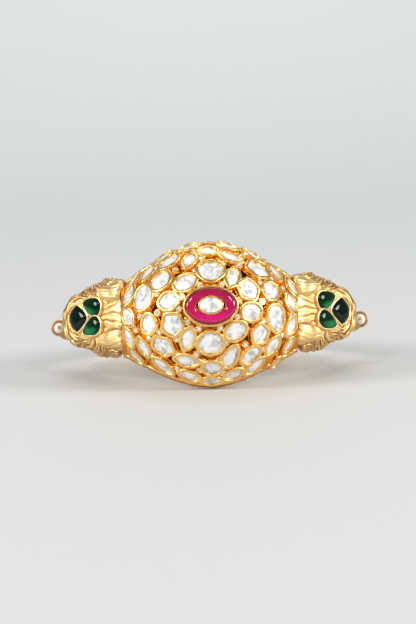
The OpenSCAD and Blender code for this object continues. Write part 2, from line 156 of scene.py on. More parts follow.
class Finishes(PropertyGroup):
    """Colours of the golds, the stones and the pearls"""
    wall_gold: colour("Wall gold", "Burnished pure gold of the stone walls", "#ffd588")
    bezel_gold: colour("Bezel gold", "Pale pure gold of the bezels round the green stones", "#ffe4ac")
    # Painted shade: the net is given a deeper orange than the wall gold, for the shade and gold-to-gold
    # bounce down between the walls
    net_gold_with_painted_shade: colour("Net gold", "Gold of the pierced net between the walls", "#fca63c")
    cast_gold: colour("Cast gold", "Matt chased gold of the heads", "#ffdb97")
    # Painted shade: the darker colour painted into the chased grooves
    cast_painted_shade: colour("Groove gold", "Darker gold down in the chased grooves", "#a0520c")
    band_gold: colour("Band gold", "Polished gold of the wrist band", "#ffcd78")
    foil_light: colour("Foil light", "Bright silver foil under the flat diamonds", "#f8f7f5")
    foil_dark: colour("Foil dark", "Grey folds of that foil", "#bab7b4")
    ruby: colour("Ruby", "The ruby's body", "#b60850")
    # Painted shade: the ruby's upper rim is darkened in its colour
    ruby_painted_shade: colour("Ruby edge", "The ruby's dark upper rim", "#7e0e28")
    # Painted light: the ruby's lower part is lightened in its colour, a painted glow
    ruby_painted_glow: colour("Ruby glow", "The ruby's lighter lower part", "#e40a86")
    green: colour("Green", "The drop-shaped green stones", "#00280a")
    # The shield's own dark green, also painted as shade along the rims of the drops
    dark_green_and_painted_shade: colour("Deep green", "The shield-shaped green stone, and the rims of the drops", "#01160c")
    # Painted light: the drops' lower part is lightened in its colour, a painted glow
    green_painted_glow: colour("Green glow", "The lighter lower part of the drops", "#009450")
    pearl: colour("Pearl", "The pearls' white", "#fbf5ea")


class StageSizes(PropertyGroup):
    """The camera and the floor"""
    distance: length("Camera distance", "From the camera to the wrist's middle", 500)
    above: degrees("Camera height", "How far the camera looks down past the ring's own plane", 5.5)
    roll: degrees("Camera roll", "How far the camera is turned on its axis", 1.7)
    focal: length("Focal length", "Focal length for a 36 mm sensor side", 107.8)
    floor: colour("Floor", "The pale floor and sweep", "#d2d3d2")


# Shapes are pairs: points as an array of rows, and faces as a list of arrays of corners


def quads(rows, cols, closed=False):
    """Corner numbers of a grid's faces; a closed grid joins its last column to its first."""
    i, j = np.meshgrid(np.arange(rows - 1), np.arange(cols if closed else cols - 1), indexing="ij")
    k = (j + 1) % cols
    here, beyond = i * cols, (i + 1) * cols
    return np.stack([here + j, here + k, beyond + k, beyond + j], axis=-1).reshape(-1, 4)


def closed_skin(rings):
    """A skin through closed rings (rings, points, 3), with each end fanned to its own middle."""
    count, n = rings.shape[:2]
    around, end = np.arange(n), (count - 1) * n
    beside = (around + 1) % n
    first = np.stack([beside, around, np.full(n, count * n)], axis=1)
    last = np.stack([around + end, beside + end, np.full(n, count * n + 1)], axis=1)
    points = np.concatenate([rings.reshape(-1, 3), rings[:1].mean(axis=1), rings[-1:].mean(axis=1)])
    return points, [quads(count, n, closed=True), first, last]


def hoop_skin(rings):
    """A skin through closed rings whose last ring joins the first."""
    count, n = rings.shape[:2]
    faces = quads(count + 1, n, closed=True) % (count * n)
    return rings.reshape(-1, 3), [faces]


def joined(shapes):
    """Several shapes as one."""
    points, faces, start = [], [], 0
    for p, fs in shapes:
        points.append(p)
        faces.extend(f + start for f in fs)
        start += len(p)
    return np.concatenate(points), faces


def mirrored(shape):
    """The shape mirrored in the plane x = 0, with its faces turned back outwards."""
    points, faces = shape
    return points * [-1, 1, 1], [f[:, ::-1] for f in faces]


def to_world(points):
    """Points of the ring's own frame in the row's frame."""
    return WRIST_AT + points @ RING


def catmull(points, count, closed=False):
    """Smooth curve through the points: each stretch is the usual cubic blend of its four neighbours."""
    points = np.asarray(points, float)
    n = len(points)
    stretch = np.arange(count) * (n / count) if closed else np.linspace(0, n - 1, count) * (1 - 1e-9)
    i = stretch.astype(int)
    f = (stretch - i)[:, None]
    pick = (lambda k: points[(i + k) % n]) if closed else (lambda k: points[np.clip(i + k, 0, n - 1)])
    a, b, c, d = pick(-1), pick(0), pick(1), pick(2)
    square, cube = 2 * a - 5 * b + 4 * c - d, 3 * b - a - 3 * c + d
    return 0.5 * (2 * b + (c - a) * f + square * f ** 2 + cube * f ** 3)


def smoothstep(low, high, x):
    """0 below low, 1 above high, and a smooth rise between."""
    t = np.clip((x - low) / (high - low), 0, 1)
    return t * t * (3 - 2 * t)


def angles(count):
    """Even steps round a full turn."""
    return np.arange(count) / count * 2 * math.pi


def circle(turn):
    """Flat points of the unit circle at the given angles."""
    return np.stack([np.cos(turn), np.sin(turn)], axis=-1)


def uneven(count, least, most, waves, seed):
    """A number for each step round a turn: a sum of sines, one for each number of waves, each of a random
    size from least to most and with a random start."""
    rng = np.random.default_rng(seed)
    turn = angles(count)
    return sum(rng.uniform(least, most) * np.sin(k * turn + rng.uniform(0, 6.3)) for k in waves)


def ripple(points, size, seed):
    """Smooth noise between about -1 and 1: a sum of plane waves in random directions, size long."""
    waves = 7
    rng = np.random.default_rng(seed)
    directions = rng.normal(size=(waves, points.shape[-1]))
    directions /= np.linalg.norm(directions, axis=1, keepdims=True)
    lengths = size * rng.uniform(0.7, 1.5, waves)
    phases = rng.uniform(0, 2 * math.pi, waves)
    return np.sin(points @ directions.T * (2 * math.pi / lengths) + phases).sum(axis=-1) / math.sqrt(waves)


def unit(v):
    """Each row at length 1; a row of zeros stays as it is."""
    return v / np.maximum(np.linalg.norm(v, axis=-1, keepdims=True), 1e-15)


def grid_normals(points):
    """Normals of a grid of points: the cross product of its two directions."""
    return unit(np.cross(np.gradient(points, axis=1), np.gradient(points, axis=0)))


def side_normals(loop):
    """Outward normals of a closed flat outline that runs anticlockwise."""
    along = np.roll(loop, -1, axis=0) - np.roll(loop, 1, axis=0)
    return unit(np.stack([along[:, 1], -along[:, 0]], axis=1))


class Stone:
    """A stone's place: the middle of its seat, its axes, and its corners as across, up and height."""

    def __init__(self, at, normal):
        self.normal = normal
        self.across = unit(np.array([1, 0, 0]) - normal[0] * normal)
        self.up = np.cross(normal, self.across)
        self.at = at
        self.corners = None

    def outline(self, level):
        """Corners at a height above the foot, as a flat outline that runs anticlockwise."""
        flat = self.corners[abs(self.corners[:, 2] - level) < 0.02 * MM][:, :2]
        turn = np.arctan2(*(flat - flat.mean(axis=0)).T[::-1])
        return flat[np.argsort(turn)]

    def flatten(self, points):
        """Points of the row's frame as across and up."""
        away = points - self.at
        return np.stack([away @ self.across, away @ self.up], axis=-1)

    def place(self, flat, heights):
        """Flat points and their heights, in the row's frame."""
        heights = np.broadcast_to(heights, flat.shape[:-1])[..., None]
        return self.at + flat[..., :1] * self.across + flat[..., 1:] * self.up + heights * self.normal


def solid_stone(corners, triangles, seat_up):
    """The stone of a solid: its foot is the flat face with the largest area, and it stands on that."""
    normals = np.cross(corners[triangles[:, 1]] - corners[triangles[:, 0]],
                       corners[triangles[:, 2]] - corners[triangles[:, 0]])
    which = np.unique(np.round(unit(normals), 2), axis=0, return_inverse=True)[1].ravel()
    foot_face = which == np.bincount(which, np.linalg.norm(normals, axis=1)).argmax()
    stone = Stone(np.zeros(3), -unit(normals[foot_face].sum(axis=0)))
    heights = corners @ stone.normal
    foot = corners[heights < heights.min() + 0.01 * MM]
    stone.at = (foot.max(axis=0) + foot.min(axis=0)) / 2
    stone.corners = np.column_stack([stone.flatten(corners), heights - heights.min()])
    stone.at = stone.at + seat_up * stone.normal
    return stone


def stones_of(node, seat_up):
    """The loose stones of a node, found as the sets of triangles that share corners."""
    steps_per_metre = 1e7
    mesh = frame["nodes"][node].data
    co = np.zeros(len(mesh.vertices) * 3)
    mesh.vertices.foreach_get("co", co)
    mesh.calc_loop_triangles()
    tri = np.zeros(len(mesh.loop_triangles) * 3, int)
    mesh.loop_triangles.foreach_get("vertices", tri)
    rounded = np.round(co.reshape(-1, 3) * steps_per_metre).astype(np.int64)
    keys, same = np.unique(rounded, axis=0, return_inverse=True)
    tri = same.ravel()[tri].reshape(-1, 3)
    label = np.arange(len(keys))
    while True:
        least = label.copy()
        np.minimum.at(least, tri.ravel(), np.repeat(label[tri].min(axis=1), 3))
        if (least == label).all():
            break
        label = least
    stones = []
    for k in np.unique(label):
        corner = np.flatnonzero(label == k)
        faces = np.searchsorted(corner, tri[label[tri[:, 0]] == k])
        stones.append(solid_stone(keys[corner] / steps_per_metre, faces, seat_up))
    return stones


def edge_distance(points, loop):
    """Distance of flat points from a closed convex outline, negative inside it."""
    ends = np.roll(loop, -1, axis=0)
    along = ends - loop
    away = points[:, None] - loop
    t = np.clip((away * along).sum(-1) / (along ** 2).sum(-1), 0, 1)
    distance = np.linalg.norm(away - t[..., None] * along, axis=-1).min(axis=1)
    inside = (along[:, 0] * away[..., 1] - along[:, 1] * away[..., 0] > 0).all(axis=1)
    return np.where(inside, -distance, distance)


def cut_outline(stone, seed):
    """A hand-cut outline: a smooth curve through the corners of the solid's foot, a little uneven."""
    loop = catmull(stone.outline(0), 56, closed=True)
    return loop * (1 + uneven(len(loop), 0.004, 0.016, (2, 3, 4, 5), seed))[:, None]


def swept_wall(stone, loop, profile, seed):
    """A wall round a stone: each (out, up) of the profile is carried round the outline, pressed unevenly."""
    out, up = np.array(profile).T * MM
    pressed = uneven(len(loop), 0.2, 1, (2, 3, 5, 8), seed)
    flat = loop[:, None] + side_normals(loop)[:, None] * (out + 0.012 * MM * pressed[:, None])[..., None]
    heights = up + 0.02 * MM * np.roll(pressed, 3)[:, None] * (up > 0)
    return hoop_skin(stone.place(flat, heights))


def domed(stone, loop, levels):
    """A closed stone: each (share, up) of the levels is the outline at that share of its size and height."""
    return closed_skin(np.stack([stone.place(loop * share_out, up * MM) for share_out, up in levels]))


def painted_light_marks(stone, points, size):
    """The depth mark of painted light on a coloured stone's points: it grows with height and towards the rim,
    and shifts across the stones set far to either side, so the stone is painted lighter low down and darker
    high up and at the rim.
    """
    east, north = (stone.flatten(points) / size).T
    beside = np.sign(stone.at[0]) * (abs(stone.at[0]) > 10 * MM)
    return 0.27 + 0.4 * north - 0.15 * east * beside + 0.35 * np.hypot(east, north) ** 4


def flat_diamond(stone, loop, seed):
    """A flat cut slice: its top is the lowest of a table and two rings of facets that rise from the edge at
    uneven slopes, worked out on rings of points."""
    facets, tilt, flatter = 11, 0.02, 0.35
    table_up, edge_up, upper_up, foot_up = (up * MM for up in (0.46, 0.1, 0.24, -0.3))
    shares = np.array([0.001, 0.16, 0.32, 0.46, 0.56, 0.64, 0.72, 0.8, 0.88, 0.95, 1])
    rng = np.random.default_rng(seed)
    facing = circle((np.arange(facets) + rng.uniform(-0.28, 0.28, facets)) / facets * 2 * math.pi)
    reach = (loop @ facing.T).max(axis=0)
    slopes = rng.uniform(0.24, 0.62, facets)
    flat = loop * shares[:, None, None]
    inward = reach - flat @ facing.T
    table = table_up + (flat @ rng.normal(size=2)) * tilt
    lower = edge_up + (inward * slopes).min(axis=-1)
    upper = upper_up + (inward[..., ::2] * slopes[::2] * flatter).min(axis=-1)
    tops = np.minimum(np.minimum(table, lower), upper)
    return closed_skin(np.concatenate([stone.place(flat, tops), stone.place(loop, foot_up)[None]]))


def dome_half(d, x):
    """Half height of the dome at x: a hyperbola, with a rounded tip in the middle and nearly straight
    flanks."""
    return d.height / 2 + d.tip_round - np.hypot(d.tip_round, d.tip_slope * x)


def dome_point(d, x, s, k=1.0):
    """Point of the dome at x and at a share s of its half height: an arc from rim to rim, k of its depth."""
    edge = math.radians(60)
    rise = (np.sqrt(1 - (s * math.sin(edge)) ** 2) - math.cos(edge)) / (1 - math.cos(edge))
    seat = np.sqrt(d.seat_r ** 2 - x ** 2)
    front = d.crest - d.plan_r + np.sqrt(d.plan_r ** 2 - x ** 2)
    return np.stack([x, -(seat + (front - seat) * rise * k), s * dome_half(d, x) - d.drop], axis=-1)


def towards_zero(values, axis):
    """Step of a grid's values along an axis, taken on the side where they come closer to zero."""
    sign = np.where(values < 0, 1, -1)
    step = np.diff(values, axis=axis)
    none = np.zeros_like(np.take(values, [0], axis=axis))
    ahead = np.concatenate([step, none], axis=axis) * sign
    behind = np.concatenate([none, step], axis=axis) * sign
    return np.where(ahead > -behind, ahead.clip(0), behind.clip(None, 0))


def tidy_cells(kept):
    """A grid of kept cells without loose scraps, whose cells have fewer than two kept neighbours, and without
    pairs that touch at a corner only."""
    for _ in range(3):
        wide = np.pad(kept, 1).astype(int)
        beside = wide[2:, 1:-1] + wide[:-2, 1:-1] + wide[1:-1, 2:] + wide[1:-1, :-2]
        kept = kept & (beside > 1)
    falling = kept[:-1, :-1] & kept[1:, 1:] & ~kept[1:, :-1] & ~kept[:-1, 1:]
    rising = kept[1:, :-1] & kept[:-1, 1:] & ~kept[:-1, :-1] & ~kept[1:, 1:]
    kept[1:, :-1] |= falling
    kept[:-1, :-1] |= rising
    return kept


def pierced_net(d, stones, loops, sparks, collet_r):
    """The gold net under the stones: the dome's surface moved inwards, cut through wherever it lies further
    from every stone and collet than a set distance. Points beside a cut slide onto its edge, along the slope
    of that distance, so the cuts have smooth outlines."""
    rows, cols, cap = 136, 206, 7
    rim_kept, end_kept = 0.7 * MM, 1.2 * MM
    far, reach, collet_kept = 5 * MM, 2.5 * MM, 0.08 * MM
    # The dome's surface, whose two ends are closed by a few more rows that run inwards
    end = d.half_width - d.net_thick / 2
    turn = np.linspace(-1, 1, cols) * math.asin(end / d.plan_r)
    x = np.concatenate([np.full(cap, -end), d.plan_r * np.sin(turn), np.full(cap, end)])
    inwards = np.linspace(0, 1, cap, endpoint=False)
    k = np.concatenate([inwards, np.ones(cols), inwards[::-1]])
    x, s = np.meshgrid(x, np.linspace(-1, 1, rows), indexing="ij")
    surface = to_world(dome_point(d, x, s, k[:, None]))
    normal = grid_normals(surface)
    normal *= np.sign((normal * (surface - WRIST_AT)).sum(-1).mean())
    # How far each point lies from the nearest stone, and solid, which is above zero where gold is left
    flat = surface.reshape(-1, 3)
    nearest = np.full(len(flat), far)
    for stone, loop in zip(stones, loops):
        near = np.linalg.norm(flat - stone.at, axis=1) < np.linalg.norm(loop, axis=1).max() + reach
        nearest[near] = np.minimum(nearest[near], edge_distance(stone.flatten(flat[near]), loop))
    solid = np.maximum(d.pierce_from - nearest, nearest - d.pierce_to)
    for spark in sparks:
        solid = np.maximum(solid, collet_r + collet_kept - np.linalg.norm(flat - spark.at, axis=1))
    # The net lies deepest under the stones, and rises to the surface where it is left whole and at the rims
    filled = smoothstep(d.pierce_to - 0.9 * MM, d.pierce_to + 0.5 * MM, nearest.reshape(x.shape))
    depth = d.net_depth * (1 - 0.75 * np.maximum(filled, smoothstep(0.84, 1, abs(s))))
    points = surface - normal * (depth + 0.09 * MM * ripple(surface, 1.8 * MM, 6))[..., None]
    solid = np.maximum(solid.reshape(x.shape), (abs(s) - 1) * dome_half(d, x) + rim_kept)
    solid = np.maximum(solid, abs(x) - d.half_width + end_kept)
    solid = solid + 0.03 * MM * ripple(points, 3 * MM, 5)
    # The cells that are left, with the points of their rims slid to where solid is zero
    faces = quads(*x.shape)
    cells = solid.ravel()[faces].mean(axis=1).reshape(x.shape[0] - 1, x.shape[1] - 1)
    whole = tidy_cells(cells > 0).ravel()
    rim = np.zeros(x.size, bool)
    rim[np.intersect1d(faces[whole], faces[~whole])] = True
    slopes = [towards_zero(solid, axis) for axis in (0, 1)]
    slide = np.where(rim.reshape(x.shape), abs(solid) / (slopes[0] ** 2 + slopes[1] ** 2 + 1e-14), 0)
    slides = [np.clip(slide * slope, -1, 1)[..., None] for slope in slopes]
    points = points + slides[0] * np.gradient(points, axis=0) + slides[1] * np.gradient(points, axis=1)
    used, kept = np.unique(faces[whole], return_inverse=True)
    return points.reshape(-1, 3)[used], [kept.reshape(-1, 4)]


def tube(path, beside, above, r, sides):
    """Rings of a tube: a circle of radius r carried along the path, with its two side directions as axes."""
    ring = circle(angles(sides))[..., None]
    return path[:, None] + (ring[:, 0] * beside[:, None] + ring[:, 1] * above[:, None]) * r[:, None, None]


def rail(d, side):
    """The rail along a rim: a rounded, slightly uneven bar carried along the dome's edge."""
    x = np.linspace(-1, 1, 130) * (d.half_width - 0.1 * MM)
    s = side * (1 - d.rail / dome_half(d, x))
    path = dome_point(d, x, s)
    forward = unit(np.gradient(path, axis=0))
    upward = unit(dome_point(d, x, s + 0.01) - dome_point(d, x, s - 0.01))
    normal = unit(np.cross(forward, upward))
    normal *= -np.sign(normal[:, 1:2])
    r = d.rail * (0.92 + 0.1 * ripple(path, 3 * MM, 31))
    sunk = 0.45 * d.rail
    return closed_skin(to_world(tube(path - normal * sunk, np.cross(normal, forward), normal, r, 14)))


def collet(spark, r_in, r_out):
    """The cup of a round diamond: a rounded wall turned about the stone's axis, with four grains on it."""
    loop = circle(angles(16))
    wall = [(r_in, -0.3), (r_in, 0.2), (r_in + 0.06 * MM, 0.29), (r_out - 0.07 * MM, 0.28),
            (r_out, 0.18), (r_out + 0.05 * MM, -1.1), (r_in, -1.1)]
    grain = [(0.02, 0.42), (0.1, 0.39), (0.14, 0.3), (0.12, 0.16)]
    shapes = [hoop_skin(np.stack([spark.place(loop * r, up * MM) for r, up in wall], axis=1))]
    for middle in loop[2::4] * (r_in + 0.02 * MM):
        rings = [spark.place(middle + loop[::2] * r * MM, up * MM) for r, up in grain]
        shapes.append(closed_skin(np.stack(rings)))
    return joined(shapes)


def round_diamond(spark, r):
    """A tiny round diamond: a table, eight crown facets, a girdle and eight facets down to a point."""
    levels = [(0.02, 0.3), (0.58, 0.3), (1, 0.12), (1, 0.07), (0.05, -0.3)]
    return domed(spark, circle(angles(8) + math.pi / 8) * r, levels)


# The walls' sections: how far out from the stone's edge and how high each point lies, in mm
WALL_PROFILE = [(-0.12, 0.16), (-0.1, 0.4), (-0.05, 0.52), (0.02, 0.56), (0.3, 0.55), (0.53, 0.49),
                (0.6, 0.43), (0.64, 0.3), (0.67, -0.2), (0.68, -1.0), (0.3, -1.05), (-0.05, -0.6)]
RUBY_PROFILE = [(-0.02, 0.3), (0.02, 0.62), (0.12, 0.74), (0.3, 0.78), (0.48, 0.72), (0.62, 0.5),
                (0.7, 0.1), (0.75, -1.0), (0.2, -1.0), (-0.02, -0.6)]
HEART_PROFILE = [(-0.14, 1.62), (-0.1, 1.76), (0.0, 1.86), (0.14, 1.9), (0.3, 1.86), (0.44, 1.72),
                 (0.52, 1.5), (0.56, 0.4), (0.5, -0.5), (0.0, -0.5), (-0.1, 0.8)]
BEZEL_PROFILE = [(-0.08, 0.5), (-0.06, 0.7), (0.0, 0.79), (0.08, 0.81), (0.32, 0.79), (0.46, 0.7),
                 (0.54, 0.4), (0.62, -0.1), (0.7, -0.8), (0.2, -0.8), (-0.05, -0.3)]

# The widths in mm that the wall of a flat diamond and the bezel of a green stone are drawn for
WALL_DRAWN, BEZEL_DRAWN = 0.68, 0.62

# A green stone from its top down: the share of its widest outline, and the height in mm
GREEN_LEVELS = [(0.01, 1.35), (0.18, 1.34), (0.38, 1.3), (0.57, 1.22), (0.72, 1.1), (0.84, 0.94),
                (0.93, 0.76), (0.98, 0.58), (1.0, 0.4), (1.0, 0.1), (0.94, -0.5)]


def add_piece(name, shape, material, replaced=(), smooth=True, sharp=None, marks=None):
    """Puts a shape into a mesh object that rides on the root, with its faces pointing outwards. Edges past
    the angle sharp, in degrees, stay sharp. Marks are values of its points that the material reads."""
    points, faces = shape
    mesh = bpy.data.meshes.new(name)
    mesh.vertices.add(len(points))
    mesh.vertices.foreach_set("co", points.ravel())
    corners = np.concatenate([f.ravel() for f in faces])
    totals = np.concatenate([np.full(len(f), f.shape[1]) for f in faces])
    mesh.loops.add(len(corners))
    mesh.loops.foreach_set("vertex_index", corners)
    mesh.polygons.add(len(totals))
    mesh.polygons.foreach_set("loop_start", np.cumsum(totals) - totals)
    mesh.polygons.foreach_set("use_smooth", np.full(len(totals), smooth))
    mesh.update(calc_edges=True)
    for key, value in (marks or {}).items():
        attribute = mesh.attributes.new(key, "FLOAT", "POINT")
        attribute.data.foreach_set("value", value.astype(np.float32))
    shell = bmesh.new()
    shell.from_mesh(mesh)
    bmesh.ops.recalc_face_normals(shell, faces=shell.faces)
    shell.to_mesh(mesh)
    shell.free()
    if sharp:
        mesh.set_sharp_from_angle(angle=math.radians(sharp))
    mesh.materials.append(material)
    piece = bpy.data.objects.new(name, mesh)
    bpy.context.scene.collection.objects.link(piece)
    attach(piece, "root")
    if replaced:
        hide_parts(*replaced)
    return piece


def set_inputs(tree, node, inputs):
    """Gives a node's inputs their values, or links from other nodes' outputs."""
    for key, value in inputs.items():
        if isinstance(value, bpy.types.NodeSocket):
            tree.links.new(value, node.inputs[key])
        else:
            node.inputs[key].default_value = value


def add_node(tree, kind, inputs=None, **settings):
    """Adds a shader node of a kind with its settings, and its inputs by name or number."""
    node = tree.nodes.new("ShaderNode" + kind)
    for key, value in settings.items():
        setattr(node, key, value)
    set_inputs(tree, node, inputs or {})
    return node


def new_material(name):
    """An empty node material, its tree, its object coordinates and its surface shader."""
    material = bpy.data.materials.new(name)
    material.use_nodes = True
    tree = material.node_tree
    tree.nodes.clear()
    place = add_node(tree, "TexCoord").outputs["Object"]
    surface = add_node(tree, "BsdfPrincipled")
    add_node(tree, "OutputMaterial", {"Surface": surface.outputs["BSDF"]})
    return material, tree, place, surface


def dimmed(tint, shares):
    """A colour at these shares of its red, green and blue."""
    return (*(np.array(tint)[:3] * shares), 1)


def gold(name, light, deep, rough, grain_mm, bump, chased=False):
    """22 carat gold. Burnished it is a warm yellow mirror, cast and chased it is matt, and both redden in
    their hollows, where light bounces from gold to gold. The grain is that of the burnisher or the punch.
    Chased gold has fine strands, a sine of the points' strand count, drawn as coarse as they need to show,
    and painted shade: its colour goes to the deep colour where the points' painted shade mark is low, down
    in the grooves and in the troughs of the fine strands."""
    material, tree, place, surface = new_material(name)
    grain, patch = (add_node(tree, "TexNoise", {"Vector": place, "Scale": 1 / (size * MM),
                                                "Detail": detail}).outputs["Fac"]
                    for size, detail in ((grain_mm, 4), (3.5, 2)))
    factor, height = patch, grain
    if chased:
        painted_groove_shade, strands = (add_node(tree, "Attribute", attribute_name=mark).outputs["Fac"]
                           for mark in ("painted_groove_shade", "strands"))
        frayed = add_node(tree, "Math", {0: patch, 1: 1.2, 2: strands}, operation="MULTIPLY_ADD")
        phase = add_node(tree, "Math", {0: frayed.outputs[0], 1: 2 * math.pi}, operation="MULTIPLY")
        sine = add_node(tree, "Math", {0: phase.outputs[0]}, operation="SINE")
        shallow = add_node(tree, "MapRange", {"Value": painted_groove_shade, "From Min": 0.6, "From Max": 1.0,
                                              "To Min": 1.0, "To Max": 0.7})
        wave = add_node(tree, "Math", {0: sine.outputs[0], 1: shallow.outputs["Result"]},
                        operation="MULTIPLY").outputs[0]
        # Painted shade level: the strand sine added to the painted groove shade mark, low where shade is
        # painted
        painted_shade_level = add_node(tree, "Math", {0: wave, 1: 0.24, 2: painted_groove_shade}, operation="MULTIPLY_ADD")
        grain_and_painted_shade = add_node(tree, "Math", {0: grain, 1: 0.5, 2: painted_shade_level.outputs[0]}, operation="MULTIPLY_ADD")
        factor = add_node(tree, "MapRange", {"Value": grain_and_painted_shade.outputs[0], "From Min": 0.55,
                                             "From Max": 1.25}).outputs["Result"]
        height = add_node(tree, "Math", {0: wave, 1: 0.55, 2: grain}, operation="MULTIPLY_ADD").outputs[0]
    # Chased gold: painted shade, the deep colour where the level is low; other golds: random patches of the
    # two colours
    tone = add_node(tree, "Mix", {FACTOR: factor, FIRST: deep, SECOND: light}, data_type="RGBA")
    rubbed = add_node(tree, "MapRange", {"Value": grain, "From Min": 0.3, "From Max": 0.7,
                                         "To Min": rough * 0.75, "To Max": rough * 1.3})
    bumped = add_node(tree, "Bump", {"Height": height, "Strength": bump, "Distance": 0.05 * MM})
    set_inputs(tree, surface, {"Base Color": tone.outputs[MIXED], "Roughness": rubbed.outputs["Result"],
                               "Normal": bumped.outputs["Normal"], "Metallic": 1})
    return material


def flat_diamond_material(finish):
    """Flat diamond slices over crinkled silver foil: bright and softly white, with faint grey folds, seen
    through a polished face. The coat is the stone's own face, the rest is the foil under it."""
    material, tree, place, surface = new_material("foil_backed_diamond")
    fold = add_node(tree, "TexNoise", {"Vector": place, "Scale": 1 / (1.7 * MM), "Detail": 2,
                                       "Distortion": 0.5}).outputs["Fac"]
    level = add_node(tree, "MapRange", {"Value": fold, "From Min": 0.32, "From Max": 0.54})
    foil = add_node(tree, "Mix", {FACTOR: level.outputs["Result"], FIRST: finish.foil_dark,
                                  SECOND: finish.foil_light}, data_type="RGBA")
    bumped = add_node(tree, "Bump", {"Height": fold, "Strength": 0.35, "Distance": 0.3 * MM})
    set_inputs(tree, surface, {"Base Color": foil.outputs[MIXED], "Normal": bumped.outputs["Normal"],
                               "Metallic": 0.15, "Roughness": 0.3, "Coat Weight": 1, "Coat Roughness": 0.04,
                               "Coat IOR": 1.6})
    return material


def round_diamond_material(finish):
    """Tiny cut diamonds in closed cups: seen from afar each facet is a small white or grey mirror."""
    material, tree, place, surface = new_material("round_diamond")
    spot = add_node(tree, "TexNoise", {"Vector": place, "Scale": 1 / (0.5 * MM), "Detail": 1})
    level = add_node(tree, "MapRange", {"Value": spot.outputs["Fac"], "From Min": 0.35, "From Max": 0.55})
    facet = add_node(tree, "Mix", {FACTOR: level.outputs["Result"], FIRST: finish.foil_dark,
                                   SECOND: finish.foil_light}, data_type="RGBA")
    set_inputs(tree, surface, {"Base Color": facet.outputs[MIXED], "Metallic": 0.2, "Roughness": 0.1,
                               "IOR": 2.42})
    return material


def gem_material(name, face, edge, glow, rough, ior, gloss):
    """A polished coloured stone over foil, with painted light and shade in its colour: as if light entered at
    its upper side, crossed it and were thrown back by the foil at its lower side, it is painted lightest
    there and painted darkest along its upper rim; the points' depth mark of painted light runs from 0 in the
    lightest part to 1 at the rim. Its gloss is kept low, because only the lamps and not the dark room show in
    it."""
    material, tree, place, surface = new_material(name)
    depth = add_node(tree, "Attribute", attribute_name="depth")
    cloud = add_node(tree, "TexNoise", {"Vector": place, "Scale": 1 / (1.6 * MM), "Detail": 2})
    # Random mottling added to the mark of painted light
    mottle_and_painted_light = add_node(tree, "Math", {0: cloud.outputs["Fac"], 1: 0.35, 2: depth.outputs["Fac"]},
                       operation="MULTIPLY_ADD")
    tone = glow
    # Painted light and shade: glow colour lowest, then the face colour, then the dark rim colour
    for darker, low, high in ((face, 0.1, 0.45), (edge, 0.6, 1.15)):
        level = add_node(tree, "MapRange", {"Value": mottle_and_painted_light.outputs[0], "From Min": low, "From Max": high})
        tone = add_node(tree, "Mix", {FACTOR: level.outputs["Result"], FIRST: tone, SECOND: darker},
                        data_type="RGBA").outputs[MIXED]
    set_inputs(tree, surface, {"Base Color": tone, "Roughness": rough, "IOR": ior,
                               "Specular IOR Level": gloss})
    return material


def pearl_material(finish):
    """A drilled pearl: a creamy white body with a soft, slightly glossy skin."""
    material, tree, place, surface = new_material("drilled_pearl")
    cloud = add_node(tree, "TexNoise", {"Vector": place, "Scale": 1 / (1.2 * MM), "Detail": 2})
    warm = dimmed(finish.pearl, [0.97, 0.93, 0.86])
    tone = add_node(tree, "Mix", {FACTOR: cloud.outputs["Fac"], FIRST: warm, SECOND: finish.pearl},
                    data_type="RGBA")
    set_inputs(tree, surface, {"Base Color": tone.outputs[MIXED], "Roughness": 0.28,
                               "Subsurface Weight": 0.25, "Subsurface Scale": 0.6 * MM,
                               "Coat Weight": 0.6, "Coat Roughness": 0.12})
    return material


# Angle round the wrist, depth of the head below its middle in mm, its height above as a share of that, and
# how square its section is: the cheeks are broad, a waist follows, and then the round boss of the face
HEAD_ROWS = [(38, 10.6, 0.94, 0.6), (44, 10.7, 0.92, 0.6), (50, 10.6, 0.91, 0.62), (55, 9.9, 0.92, 0.58),
             (60, 9.1, 0.95, 0.54), (66, 7.7, 0.99, 0.58), (72, 6.5, 1.02, 0.64), (78, 6.0, 1.0, 0.68),
             (86, 5.4, 1.0, 0.72), (98, 4.7, 1.0, 0.75)]
HEAD_FROM, HEAD_TO = HEAD_ROWS[0][0], HEAD_ROWS[-1][0]

# The angle that the flat forehead faces, and the angle at which it ends
BROW_TURN, BROW_TO = 42, 68

# How far back from its cut face a head and its ears draw in
END_ROUND = 1.8 * MM


def head_section(t):
    """Depth below the middle, share above and squareness of the head at angle t: the table against its
    angles, softened by averaging three places 2 degrees apart."""
    turns, *columns = np.array(HEAD_ROWS).T
    near = [t + k for k in (-2, 0, 2)]
    below, taller, square = (sum(np.interp(place, turns, column) for place in near) / 3 for column in columns)
    return below * MM, taller, square


def brow_radius(h, b, t):
    """Distance of the head's middle line from the wrist's axis: a straight line across the flat forehead,
    then half a cosine wave down to the band."""
    top = h.brow_r / math.cos(math.radians(BROW_TO - BROW_TURN))
    low = WRIST_R + b.back_t
    flat = h.brow_r / np.cos(np.radians(np.minimum(t, BROW_TO) - BROW_TURN))
    fall = low + (top - low) * (0.5 + 0.5 * np.cos(math.pi * (t - BROW_TO) / (HEAD_TO - BROW_TO)))
    return np.where(t <= BROW_TO, flat, fall)


def round_wrist(t, r, z):
    """Point of the ring's frame at angle t from the front, distance r and height z."""
    t = np.radians(t)
    return np.stack(np.broadcast_arrays(r * np.sin(t), -r * np.cos(t), z), axis=-1)


def brow_u(points):
    """How far points lie outwards along the forehead."""
    turn = math.radians(BROW_TURN)
    return points[..., 0] * math.cos(turn) + points[..., 1] * math.sin(turn)


def ridges(turns, power):
    """Rounded ridges with sharp grooves, one to each half turn: the size of a sine, raised to a power."""
    return abs(np.sin(turns)) ** power


